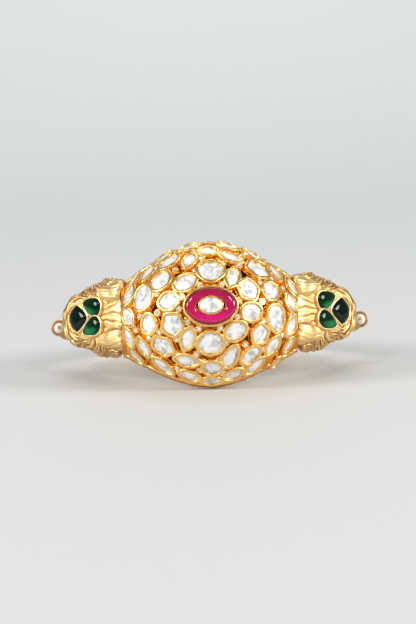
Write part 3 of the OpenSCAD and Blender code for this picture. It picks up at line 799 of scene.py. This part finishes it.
def chasing(h, t, points):
    """Height of the chased hair in mm, the count of fine strands across it, and its painted shade level, low
    in the grooves.
    The strands run round the stones, then along the face; between the ears they fan out. Tufts and locks are
    two sizes of ridges, whose course is bent by smooth noise. Lengths are in mm, t is in degrees."""
    whorl, fan_from, tuft = 9.9, 10.5, 3.1
    u = brow_u(points) / MM
    z = points[..., 2] / MM
    spot = points / MM
    # The courses: round the whorl, then along the face, and down the nape
    ring = np.hypot((u - whorl) * 0.95, z + 0.1)
    side = smoothstep(74, 88, t)
    around = np.hypot(np.arctan2(z, u - whorl), 0.35)
    apart = np.hypot(z, 1.4)
    across = (ring + 2.2 * around) * (1 - side) + (apart * 1.05 + 3) * side
    nape = smoothstep(6.5, 3.0, u) * smoothstep(5, 7, abs(z))
    across = across * (1 - nape) + (abs(z) * 1.2 + 0.45 * u + 4) * nape
    calm = 1 - 0.65 * smoothstep(66, 80, t)
    across = across + calm * (0.7 * ripple(spot, 8, 11) + 0.2 * ripple(spot, 3.4, 12))
    # The tufts and locks, which end before the stones, the band and the neck
    tufts = ridges(math.pi * (across + 2.5 * around) / tuft + 1.2 * calm * ripple(spot, 5, 15), 0.6)
    locks = ridges(math.pi * (across / (h.strand / MM) + 0.35 * calm * ripple(spot, 3.6, 16)), 0.8)
    neck = smoothstep(6.2, 4.6, u) * smoothstep(4.6, 3.4, abs(z))
    hair = smoothstep(5.0, 5.9, ring) * (1 - smoothstep(90, 97, t)) * (1 - neck)
    lumps = 0.3 * ripple(spot, 4.2, 14) * smoothstep(6.5, 9, ring)
    tall = 0.22 + 0.3 * smoothstep(7, 10, ring)
    # The neck between the ears
    fan = np.arctan2(z, fan_from - u) * 5.5 + 0.16 * ripple(spot, 4, 13)
    pleats = ridges(math.pi * fan, 0.6)
    height = hair * (tall * tufts + 0.26 * locks - 0.34 + lumps) + neck * 0.2 * (pleats - 0.8)
    strands = np.where(neck > 0.5, fan * 1.8, across / 0.7)
    # Painted shade level: high on the crests of tufts and locks, low in their grooves and in the neck's
    # pleats
    plain = 0.97 - neck * 0.4 * (1 - pleats)
    return height, strands, hair * (0.3 * tufts + 0.7 * locks) + (1 - hair) * plain


def cut_flat(points, stop, inwards):
    """Lays points that lie past the plane x = stop onto it, and draws them towards the middle by their way
    past it, so that the cut face has no fins at its edge."""
    past = (stop - points[..., 0]).clip(0)
    points[..., 0] += past
    points[..., 1] += inwards * past
    points[..., 2] *= 1 - 0.05 * past / MM


def head_core(h, b):
    """The head's skin: a rounded section carried round the wrist, moved along its normals by the chasing.
    Its reach outwards and its height are the cosine and sine of an angle a, raised to the same power."""
    rows, cols, ease = 290, 240, 1.7
    t = np.linspace(HEAD_FROM, HEAD_TO, rows)[:, None]
    v = np.linspace(1, -1, cols)[None]
    spread = abs(v) ** ease / (abs(v) ** ease + (1 - abs(v)) ** ease)
    a = np.sign(v) * spread * math.pi / 2
    below, taller, square = head_section(t)
    out = np.cos(a).clip(0) ** square
    z = np.where(a > 0, below * taller, below) * np.sign(a) * abs(np.sin(a)) ** square
    inner = WRIST_R + 0.25 * MM
    r = np.maximum(inner + (brow_radius(h, b, t) - inner) * out, h.inner_r)
    points = round_wrist(t, r, z)
    ragged_x = points[..., 0] + 0.3 * MM * ripple(points, 3 * MM, 17)
    ending = 1 - smoothstep(h.cut_x, h.cut_x + END_ROUND, ragged_x)
    points[..., 2] *= 1 - 0.07 * ending ** 2
    normal = grid_normals(points)
    normal *= np.sign(normal[..., 0].mean())
    height, strands, painted_shade_level = chasing(h, t, points)
    edge = smoothstep(h.inner_r, h.inner_r + 1.2 * MM, r)
    points = points + normal * (MM * edge * (height * h.chased * (1 - ending) - 0.4 * ending ** 2))[..., None]
    cut_flat(points, h.cut_x, 0)
    return closed_skin(points), ends(painted_shade_level, strands)


def ends(painted_shade_level, strands):
    """The painted shade level and the strand count of a closed skin's points, with those of its two middle
    points.
    """
    marks = np.broadcast_arrays(painted_shade_level, strands)
    return np.stack([np.append(mark.ravel(), [mark.flat[0], mark.flat[-1]]) for mark in marks], axis=1)


# Edges of an ear in mm on the forehead, from its root to its broad end: outwards, and height
EAR_LOW = [(7.6, 6.0), (5.8, 4.6), (3.8, 3.4), (1.0, 2.6), (-2.15, 2.7)]
EAR_HIGH = [(7.8, 6.5), (6.0, 7.6), (3.4, 8.6), (0.4, 9.4), (-3.3, 9.9)]


def ear(h, side):
    """An ear: a soft leaf between its two edge curves, hollowed across and chased along, that sinks into the
    head at its edges and rolls over at its broad end."""
    rows, cols, below = 110, 70, 8
    # The leaf's height above the forehead, against s from root to end and v from edge to edge
    s = np.linspace(0, 1, rows)[:, None]
    v = np.linspace(0, 1, cols)[None]
    low = catmull(EAR_LOW, rows)[:, None]
    high = catmull(EAR_HIGH, rows)[:, None]
    k = 2 * v - 1
    spot = np.stack(np.broadcast_arrays(s * 12, k * 3, 0 * s + 5 * side), axis=-1)
    waver = 0.25 * ripple(spot, 6, 21)
    rolled = np.exp(-((abs(k) - 0.7) / 0.22) ** 2) * 0.1
    hollow = 0.16 * (1 - k ** 2) * smoothstep(0, 0.45, s)
    edge = (1 - abs(k) ** 2.8).clip(0) ** 0.9
    end = (1 - ((s - 0.8) / 0.2).clip(0) ** 2).clip(0) ** 0.5
    root = smoothstep(0, 0.3, s)
    strokes = v * (4.5 + 1.5 * s) + waver
    pleat = (ridges(math.pi * strokes, 0.7) - 0.6) * 0.09 * smoothstep(0.05, 0.4, s)
    raised = (0.7 + 0.3 * s + rolled - hollow + pleat + 0.08 * ripple(spot, 3, 22)) * edge * root
    top = raised * (0.1 + 0.9 * end) - 1.1 * (1 - edge * root)
    # Its outline, with an underside sunk into the head, laid on the forehead and drawn in at the dome
    w = np.linspace(1, 0, below)[None]
    flat = np.concatenate([low * (1 - v[..., None]) + high * v[..., None],
                           low * (1 - w[..., None]) + high * w[..., None]], axis=1)
    u, z = flat[..., 0], flat[..., 1]
    level = np.concatenate([top, np.full((rows, below), -1.4)], axis=1) - 0.05 * (z - 4).clip(0) ** 2
    turn = BROW_TURN + np.degrees(np.arctan2(u * MM, h.brow_r))
    r = np.hypot(h.brow_r, u * MM) + level * MM
    stop = h.cut_x - 0.9 * MM * smoothstep(5.6, 7.2, z)
    ending = (1 - smoothstep(0, END_ROUND, r * np.sin(np.radians(turn)) - stop)) ** 2
    tall = 0.98 if side > 0 else 1.04
    points = round_wrist(turn, r - 0.8 * MM * ending, side * z * MM * tall * (1 - 0.07 * ending))
    cut_flat(points, stop, 1)
    # Painted shade level: darker towards the leaf's edges where it sinks into the head and in its pleats, and
    # dark on the sunk underside
    painted_shade_level = np.concatenate([(1.12 + 3 * pleat) * edge ** 0.6, np.full((rows, below), 0.2)], axis=1)
    counts = np.concatenate([strokes * 1.3, np.zeros((rows, below))], axis=1)
    return closed_skin(points), ends(painted_shade_level, counts)


# The trunk's middle line in mm from the ring's middle, and its radius
TRUNK = [(33.6, -5.0, -2.0, 2.0), (36.4, -2.2, -2.7, 1.5), (38.6, 0.2, -2.7, 1.05), (39.9, 0.9, -1.9, 0.85),
         (40.1, 0.9, -0.8, 0.8)]
PEARL_AT = np.array([40.1, -1.0, -0.8]) * MM


def trunk():
    """The trunk: a circle carried along a smooth curve through its rows, whose radius swells and shrinks as a
    cosine for the rings round it."""
    rings, wrinkle = 9, 0.035
    line = catmull(np.array(TRUNK) * MM, 40)
    path, radii = line[:, :3], line[:, 3]
    forward = unit(np.gradient(path, axis=0))
    beside = unit(np.cross(forward, [0, 0, 1.0]))
    r = radii * (1 + wrinkle * np.cos(np.linspace(0, 1, len(path)) * rings * 2 * math.pi))
    return closed_skin(tube(path, beside, np.cross(beside, forward), r, 24))


def turned(profile, sides):
    """A profile of (radius, forward) points, turned about the pearl's peg, which points to the front."""
    r, forward = np.array(profile).T[..., None]
    east, up = circle(angles(sides)).T
    return PEARL_AT + np.stack([r * east, -forward + 0 * east, r * up], axis=-1)


def pearl_cup(h):
    """The curl that holds the pearl: a rounded cup, and the peg's domed end in front of the pearl."""
    inner = h.pearl_r + 0.05 * MM
    quarter = np.linspace(math.pi / 2, 0.02, 10)
    back = [(inner * math.sin(a), -inner * math.cos(a)) for a in quarter[::-1]]
    lip = [(inner, 0.2 * MM), (inner + 0.07 * MM, 0.4 * MM), (inner + 0.22 * MM, 0.5 * MM),
           (h.cup_r - 0.16 * MM, 0.48 * MM), (h.cup_r, 0.28 * MM)]
    outer = [(h.cup_r * math.sin(a), -h.cup_r * math.cos(a) * 0.9) for a in quarter]
    cup = closed_skin(turned(back + lip + outer, 40))
    front = h.pearl_r - 0.06 * MM
    peg = [(0.001 * MM, front + 0.26 * MM), (0.2 * MM, front + 0.22 * MM), (0.31 * MM, front + 0.08 * MM),
           (0.31 * MM, -1.7 * MM)]
    return cup, closed_skin(turned(peg, 16))


def pearl_shape(h):
    """A round pearl with a drilled hole whose edge is softened."""
    hole = 0.36 * MM
    start = math.asin(hole / h.pearl_r)
    turns = np.linspace(start + 0.05, math.pi - start - 0.05, 30)
    outside = [(h.pearl_r * math.sin(a), h.pearl_r * math.cos(a)) for a in turns]
    depth = h.pearl_r * math.cos(start) - 0.06 * MM
    bore = [(hole, -depth), (hole, 0), (hole, depth)]
    return hoop_skin(turned(outside + bore, 48))


def head_shape(h, b):
    """One cast head: skin, ears, trunk and pearl cup, with the painted shade level and strand count of each
    point.
    """
    # The trunk, cup and peg take one even painted shade level
    plain_painted_shade_level, plain_strands = 0.75, 0.25
    parts = [head_core(h, b), ear(h, 1), ear(h, -1)]
    parts.extend((shape, np.tile([plain_painted_shade_level, plain_strands], (len(shape[0]), 1)))
                 for shape in (trunk(), *pearl_cup(h)))
    points, faces = joined([shape for shape, marks in parts])
    return (points, faces), np.concatenate([marks for shape, marks in parts])


def both_sides(shape):
    """The left and the right copy of a shape of the ring's own frame, in the row's frame."""
    return [(to_world(points), faces) for points, faces in (mirrored(shape), shape)]


def wrist_hoop(b):
    """The wrist band: a rounded section turned round the wrist, thin under the dome and heads, and crowned
    across the back. The section is a closed loop of its inner face, two soft edges and its outer face."""
    t = np.degrees(angles(288))
    back = smoothstep(HEAD_TO - 1, HEAD_TO + 3, np.minimum(t, 360 - t))[:, None]
    half = b.width / 2
    z = np.linspace(-half, half, 25)
    crown = b.back_t - b.crown_r + np.sqrt(b.crown_r ** 2 - z ** 2)
    tall = b.hoop_t + (np.maximum(crown, b.hoop_t) - b.hoop_t) * back
    edge = (half - abs(z)).clip(0, b.edge_r)
    soft = b.edge_r - np.sqrt((b.edge_r ** 2 - (b.edge_r - edge) ** 2).clip(0))
    outer = round_wrist(t[:, None], WRIST_R + tall - soft, z[None])
    inner = round_wrist(t[:, None], WRIST_R + soft[::-1] + 0 * tall, z[None, ::-1])
    return hoop_skin(to_world(np.concatenate([outer, inner], axis=1)))


def ruby_shape(stone):
    """The ruby: an oval ring whose section is a flat foot, upright sides and a rounded top. Also returns its
    depth marks of painted light and shade, which grow to its two rims, so both rims are painted darker."""
    foot_up, side_up, top = -0.5, 0.5, 0.95
    loop = circle(angles(96))
    size = oval_size(stone)
    hole = size - 2.8 * MM
    sweep = np.linspace(0, math.pi, 21)
    share_out = np.concatenate([[0], 0.5 - 0.5 * np.cos(sweep), [1]])
    up = np.concatenate([[foot_up], side_up + top * np.sin(sweep) ** 0.9, [foot_up]]) * MM
    reach = hole + (size - hole) * share_out[:, None]
    points, faces = hoop_skin(stone.place(loop[:, None] * reach, up))
    # Painted shade along the ring's inner and outer rims
    rims = np.tile(abs(2 * share_out - 1) ** 6, len(loop))
    return (points, faces), painted_light_marks(stone, points, size) + 0.6 * rims


def oval_size(stone):
    """Half length and half width of an oval stone's foot."""
    return np.abs(stone.outline(0)).max(axis=0)


# Narrow diamonds squeezed in beside the heads: x and height on the dome, length, width in mm and turn
NARROW = [(-18.6, -9.6, 5.4, 2.3, -36), (-18.7, 9.0, 5.4, 2.0, 42), (16.3, -12.2, 3.7, 2.3, 38),
          (19.4, -8.1, 4.5, 2.3, 44)]


def narrow_stone(d, x, z, long, wide, turn):
    """A narrow leaf-shaped stone on the dome: its outline is an oval whose ends are drawn to points."""
    x, z, e = x * MM, z * MM, 0.05 * MM
    at, east, north = (dome_point(d, np.array(px), pz / dome_half(d, px))
                       for px, pz in ((x, z), (x + e, z), (x, z + e)))
    stone = Stone(to_world(at), unit(np.cross(east - at, north - at)) @ RING)
    c, s = circle(angles(12)).T
    leaf = np.stack([c * long, s * (1 - 0.3 * abs(c) ** 3) * wide], axis=1) * 0.5 * MM
    c, s = circle(math.radians(turn))
    stone.corners = np.column_stack([leaf @ [[c, s], [-s, c]], np.zeros(12)])
    return stone


def main_stones(d):
    """The flat diamonds of the dome, each with its hand-cut outline. Those near the dome's two ends are set a
    little further out than the solids, and those nearest its rims are a little broader."""
    rim_broader = 1.28
    stones = [s for node in MAIN_DIAMONDS for s in stones_of(node, FLAT_SEAT)]
    first_rim = len(stones)
    stones += [s for node in RIM_DIAMONDS for s in stones_of(node, FLAT_SEAT)]
    for stone in stones:
        outer = np.sign(stone.at[0]) * smoothstep(16 * MM, 19 * MM, abs(stone.at[0]))
        height = (stone.at - WRIST_AT) @ RING[2]
        moved = (0.3 + 0.5 * smoothstep(6 * MM, 4 * MM, abs(height))) * MM
        stone.at = stone.at + stone.across * outer * moved
    first_narrow = len(stones)
    stones += [narrow_stone(d, *row) for row in NARROW]
    loops = [cut_outline(stone, OUTLINE_SEED + i) for i, stone in enumerate(stones)]
    for i in range(first_rim, first_narrow):
        loops[i] = broadened(loops[i], rim_broader)
    return list(zip(stones, loops))


def broadened(loop, by):
    """The outline made wider across its shorter axis, which is the lesser main axis of its points."""
    shorter = np.linalg.eigh(loop.T @ loop)[1][:, 0]
    return loop + (by - 1) * (loop @ shorter)[:, None] * shorter


class BANGLE_OT_dome(Operator):
    """Builds the pierced net, the walls round the flat diamonds and the collets of the round ones"""
    bl_idname = "bangle.dome"
    bl_label = "Dome"

    def execute(self, context):
        d, s, finish = context.scene.bangle_dome, context.scene.bangle_settings, context.scene.bangle_finish
        mains = main_stones(d)
        sparks = stones_of("spark_diamonds", ROUND_SEAT)
        ruby = stones_of("ruby_ring", GEM_SEAT)[0]
        size = oval_size(ruby)
        net = pierced_net(d, *zip(*mains, (ruby, circle(angles(72)) * size)), sparks, s.collet_r)
        burnished = gold("burnished_gold", finish.wall_gold, dimmed(finish.wall_gold, [0.92, 0.84, 0.7]),
                         0.27, 0.3, 0.35)
        # Painted shade: the net's gold is a deeper orange copy of the wall gold
        deep = gold("pierced_gold", finish.net_gold_with_painted_shade, dimmed(finish.net_gold_with_painted_shade, [0.9, 0.8, 0.6]), 0.22, 0.3, 0.3)
        shell = add_piece("pierced_net", net, deep, ["dome_cage"])
        wall = shell.modifiers.new("thickness", "SOLIDIFY")
        wall.thickness = d.net_thick
        wall.offset = 0
        profile = [(out * s.wall / (WALL_DRAWN * MM), up) for out, up in WALL_PROFILE]
        shapes = [swept_wall(stone, loop, profile, WALL_SEED + i) for i, (stone, loop) in enumerate(mains)]
        shapes.append(swept_wall(ruby, circle(angles(96)) * size, RUBY_PROFILE, RUBY_WALL_SEED))
        heart = catmull(stones_of("heart_polki", FLAT_SEAT)[0].outline(0), 64, closed=True)
        shapes.append(swept_wall(ruby, heart, HEART_PROFILE, HEART_WALL_SEED))
        shapes.extend(collet(spark, s.spark_r - 0.03 * MM, s.collet_r) for spark in sparks)
        shapes.extend(rail(d, side) for side in (1, -1))
        add_piece("stone_walls", joined(shapes), burnished, sharp=50)
        return {"FINISHED"}


class BANGLE_OT_diamonds(Operator):
    """Builds the flat diamonds and the tiny round ones"""
    bl_idname = "bangle.diamonds"
    bl_label = "Diamonds"

    def execute(self, context):
        s, finish = context.scene.bangle_settings, context.scene.bangle_finish
        foil = flat_diamond_material(finish)
        flats = [flat_diamond(stone, loop, FACET_SEED + i)
                 for i, (stone, loop) in enumerate(main_stones(context.scene.bangle_dome))]
        heart = stones_of("heart_polki", FLAT_SEAT)[0]
        flats.append(flat_diamond(heart, catmull(heart.outline(0), 56, closed=True), HEART_FACET_SEED))
        add_piece("flat_diamonds", joined(flats), foil,
                  MAIN_DIAMONDS + RIM_DIAMONDS + ["heart_polki"], smooth=False)
        clear = round_diamond_material(finish)
        rounds = [round_diamond(spark, s.spark_r) for spark in stones_of("spark_diamonds", ROUND_SEAT)]
        add_piece("round_diamonds", joined(rounds), clear, ["spark_diamonds"], smooth=False)
        return {"FINISHED"}


class BANGLE_OT_coloured(Operator):
    """Builds the ruby ring and the green stones"""
    bl_idname = "bangle.coloured"
    bl_label = "Coloured stones"

    def execute(self, context):
        finish = context.scene.bangle_finish
        # deep holds the ruby's painted light and shade marks
        shape, deep = ruby_shape(stones_of("ruby_ring", GEM_SEAT)[0])
        red = gem_material("polished_ruby", finish.ruby, finish.ruby_painted_shade, finish.ruby_painted_glow, 0.07, 1.76, 0.34)
        add_piece("ruby", shape, red, ["ruby_ring"], marks={"depth": deep})
        # The drops are painted lighter below and darker at the rim
        drop = gem_material("polished_green_stone", finish.green, finish.dark_green_and_painted_shade, finish.green_painted_glow,
                            0.06, 1.57, 0.2)
        # The shield keeps its own dark green, with a darker painted shade rim and a faint painted glow
        dark = gem_material("dark_green_stone", finish.dark_green_and_painted_shade, dimmed(finish.dark_green_and_painted_shade, 0.3),
                            dimmed(finish.green, 0.25), 0.06, 1.57, 0.2)
        for name, kinds, green in (("green_drops", ("upper", "lower"), drop),
                                   ("green_shields", ("brow",), dark)):
            nodes = [f"emerald_{side}_{kind}" for side in ("left", "right") for kind in kinds]
            stones = [stones_of(node, GEM_SEAT)[0] for node in nodes]
            loops = [green_outline(stone) for stone in stones]
            shapes = [domed(stone, loop, GREEN_LEVELS) for stone, loop in zip(stones, loops)]
            # Each green stone's marks of painted light and shade
            marks = [painted_light_marks(stone, shape[0], np.abs(loop).max(axis=0))
                     for stone, loop, shape in zip(stones, loops, shapes)]
            add_piece(name, joined(shapes), green, nodes,
                      marks={"depth": np.concatenate(marks)})
        return {"FINISHED"}


def green_outline(stone):
    """The green stone's widest outline, 0.8 mm above its foot, as a smooth curve set a little outwards."""
    loop = catmull(stone.outline(0.8 * MM), 64, closed=True)
    return loop + side_normals(loop) * 0.16 * MM


class BANGLE_OT_heads(Operator):
    """Builds the two cast heads with the bezels of their green stones, and the pearls"""
    bl_idname = "bangle.heads"
    bl_label = "Heads and pearls"

    def execute(self, context):
        h, b, finish = context.scene.bangle_head, context.scene.bangle_band, context.scene.bangle_finish
        # The chased gold paints shade into its grooves with the groove colour
        chased = gold("chased_gold", finish.cast_gold, finish.cast_painted_shade, 0.4, 0.3, 1.0, chased=True)
        bright = gold("bezel_gold", finish.bezel_gold, dimmed(finish.bezel_gold, [0.95, 0.88, 0.76]),
                      0.34, 0.3, 0.25)
        # The marks carry each point's painted shade level and strand count
        shape, marks = head_shape(h, b)
        for side, head in zip(("left", "right"), both_sides(shape)):
            add_piece(f"cast_head_{side}", head, chased, [f"head_{side}"],
                      sharp=60, marks={"painted_groove_shade": marks[:, 0], "strands": marks[:, 1]})
        pearls = joined(both_sides(pearl_shape(h)))
        add_piece("drilled_pearls", pearls, pearl_material(finish), ["pearl_left", "pearl_right"])
        greens = [stones_of(f"emerald_{side}_{kind}", GEM_SEAT)[0]
                  for side in ("left", "right") for kind in ("upper", "lower", "brow")]
        width = context.scene.bangle_settings.bezel
        profile = [(out * width / (BEZEL_DRAWN * MM), up) for out, up in BEZEL_PROFILE]
        bezels = [swept_wall(stone, green_outline(stone), profile, BEZEL_SEED + i)
                  for i, stone in enumerate(greens)]
        add_piece("green_stone_bezels", joined(bezels), bright, sharp=50)
        return {"FINISHED"}


class BANGLE_OT_band(Operator):
    """Builds the plain wrist band and gives the dome's back plate its finish"""
    bl_idname = "bangle.band"
    bl_label = "Wrist band"

    def execute(self, context):
        finish = context.scene.bangle_finish
        polished = gold("polished_gold", finish.band_gold, dimmed(finish.band_gold, [0.94, 0.88, 0.76]),
                        0.13, 0.6, 0.12)
        hoop = wrist_hoop(context.scene.bangle_band)
        add_piece("wrist_hoop", hoop, polished, ["wrist_band"], sharp=50)
        plate = frame["nodes"]["wrist_plate"]
        plate.data.materials.clear()
        plate.data.materials.append(polished)
        return {"FINISHED"}


class BANGLE_OT_stage(Operator):
    """Builds the pale floor with its sweep, the soft lights and the camera"""
    bl_idname = "bangle.stage"
    bl_label = "Stage"

    def execute(self, context):
        stage = context.scene.bangle_stage
        self.floor(stage)
        self.lights(context)
        self.camera(context, stage)
        return {"FINISHED"}

    def floor(self, stage):
        """A pale sweep: flat under the bangle, then curving up far behind it."""
        rows, cols, patches_per_metre = 9, 40, 6
        side, front, back, high = 2.5, -1.2, 2.0, 1.6
        x = np.linspace(-side, side, rows)[:, None]
        y = np.linspace(front, back, cols)
        z = high * smoothstep(0.5, 0.9, np.linspace(0, 1, cols)) ** 2
        points = np.stack(np.broadcast_arrays(x, y, z), axis=-1)
        mesh = bpy.data.meshes.new("sweep")
        mesh.from_pydata(points.reshape(-1, 3).tolist(), [], quads(rows, cols)[:, ::-1].tolist())
        mesh.polygons.foreach_set("use_smooth", np.full(len(mesh.polygons), True))
        material, tree, place, surface = new_material("pale_paper_sweep")
        cloud = add_node(tree, "TexNoise", {"Vector": place, "Scale": patches_per_metre, "Detail": 2})
        tone = add_node(tree, "Mix", {FACTOR: cloud.outputs["Fac"], FIRST: dimmed(stage.floor, 0.985),
                                      SECOND: stage.floor}, data_type="RGBA")
        set_inputs(tree, surface, {"Base Color": tone.outputs[MIXED], "Roughness": 0.6})
        mesh.materials.append(material)
        sweep = bpy.data.objects.new("sweep", mesh)
        bpy.context.scene.collection.objects.link(sweep)

    def lights(self, context):
        """Soft round lamps: one above, one on the sweep behind, a small pair in front for the stones' gleams,
        and one at each side for the heads. Each row has the lamp's place, the place it shines at, its width
        in metres, its power in watts and its tint."""
        world = bpy.data.worlds.new("studio")
        world.use_nodes = True
        set_inputs(world.node_tree, world.node_tree.nodes["Background"],
                   {"Color": (0.93, 0.96, 1.0, 1), "Strength": 0.26})
        context.scene.world = world
        warm, cool = (1.0, 0.99, 0.97), (0.95, 0.98, 1.0)
        bangle, sweep = (0, 0, 0.02), (0, 1.7, 0.5)
        for name, at, aim, size, power, tint in (
                ("top", (0.0, 0.4, 1.2), bangle, 1.0, 1.6, cool),
                ("back", (0.0, 0.6, 1.3), sweep, 1.2, 8.8, cool),
                ("near_left", (-0.43, -0.66, 0.66), bangle, 0.2, 1.8, warm),
                ("near_right", (0.43, -0.66, 0.66), bangle, 0.2, 1.8, warm),
                ("left", (-0.82, -0.32, 0.4), bangle, 0.34, 5.5, warm),
                ("right", (0.82, -0.32, 0.38), bangle, 0.34, 5.8, warm)):
            light = bpy.data.lights.new(name, "AREA")
            light.shape = "DISK"
            light.size = size
            light.energy = power
            light.color = tint
            lamp = bpy.data.objects.new(name, light)
            lamp.location = at
            lamp.rotation_euler = (Vector(aim) - Vector(at)).to_track_quat("-Z", "Y").to_euler()
            context.scene.collection.objects.link(lamp)

    def camera(self, context, stage):
        """The photo's view: straight on, a little above the ring's plane, with the ring right of and below
        the picture's middle by a few pixels."""
        right_by, below_by, sensor_mm = 1.6, 9.2, 36
        lean = math.atan2(RING[2, 1], RING[2, 2])
        elevation = lean - stage.above
        target = Vector(WRIST_AT)
        at = target + stage.distance * Vector((0, -math.cos(elevation), math.sin(elevation)))
        lens = bpy.data.cameras.new("photo_view")
        lens.lens = stage.focal / MM
        lens.sensor_width = sensor_mm
        lens.clip_start = 0.01
        lens.clip_end = 20
        lens.shift_x = -right_by / PHOTO_HIGH
        lens.shift_y = below_by / PHOTO_HIGH
        camera = bpy.data.objects.new("photo_view", lens)
        turn = (target - at).to_track_quat("-Z", "Y").to_matrix().to_4x4()
        camera.matrix_world = Matrix.Translation(at) @ turn @ Matrix.Rotation(-stage.roll, 4, "Z")
        context.scene.collection.objects.link(camera)
        context.scene.camera = camera


class BANGLE_PT_panel(Panel):
    """Lists the steps that build the bangle"""
    bl_idname = "BANGLE_PT_panel"
    bl_label = "Kundan bangle"
    bl_space_type = "VIEW_3D"
    bl_region_type = "UI"
    bl_category = "Bangle"

    def draw(self, context):
        for step in STEPS:
            self.layout.operator(step.bl_idname)


GROUPS = {"bangle_dome": DomeSizes, "bangle_settings": SettingSizes, "bangle_head": HeadSizes,
          "bangle_band": BandSizes, "bangle_finish": Finishes, "bangle_stage": StageSizes}
STEPS = (BANGLE_OT_stage, BANGLE_OT_dome, BANGLE_OT_diamonds, BANGLE_OT_coloured, BANGLE_OT_heads,
         BANGLE_OT_band)


def register():
    """Registers the property groups, the steps and the panel."""
    for name, group in GROUPS.items():
        bpy.utils.register_class(group)
        setattr(bpy.types.Scene, name, PointerProperty(type=group))
    for step in STEPS + (BANGLE_PT_panel,):
        bpy.utils.register_class(step)


def unregister():
    """Takes them away again."""
    for step in (BANGLE_PT_panel,) + STEPS[::-1]:
        bpy.utils.unregister_class(step)
    for name, group in GROUPS.items():
        delattr(bpy.types.Scene, name)
        bpy.utils.unregister_class(group)


def main():
    """Builds every piece."""
    register()
    bpy.context.scene.view_settings.view_transform = "Standard"
    for step in STEPS:
        group, name = step.bl_idname.split(".")
        getattr(getattr(bpy.ops, group), name)()


if __name__ == "__main__":
    main()
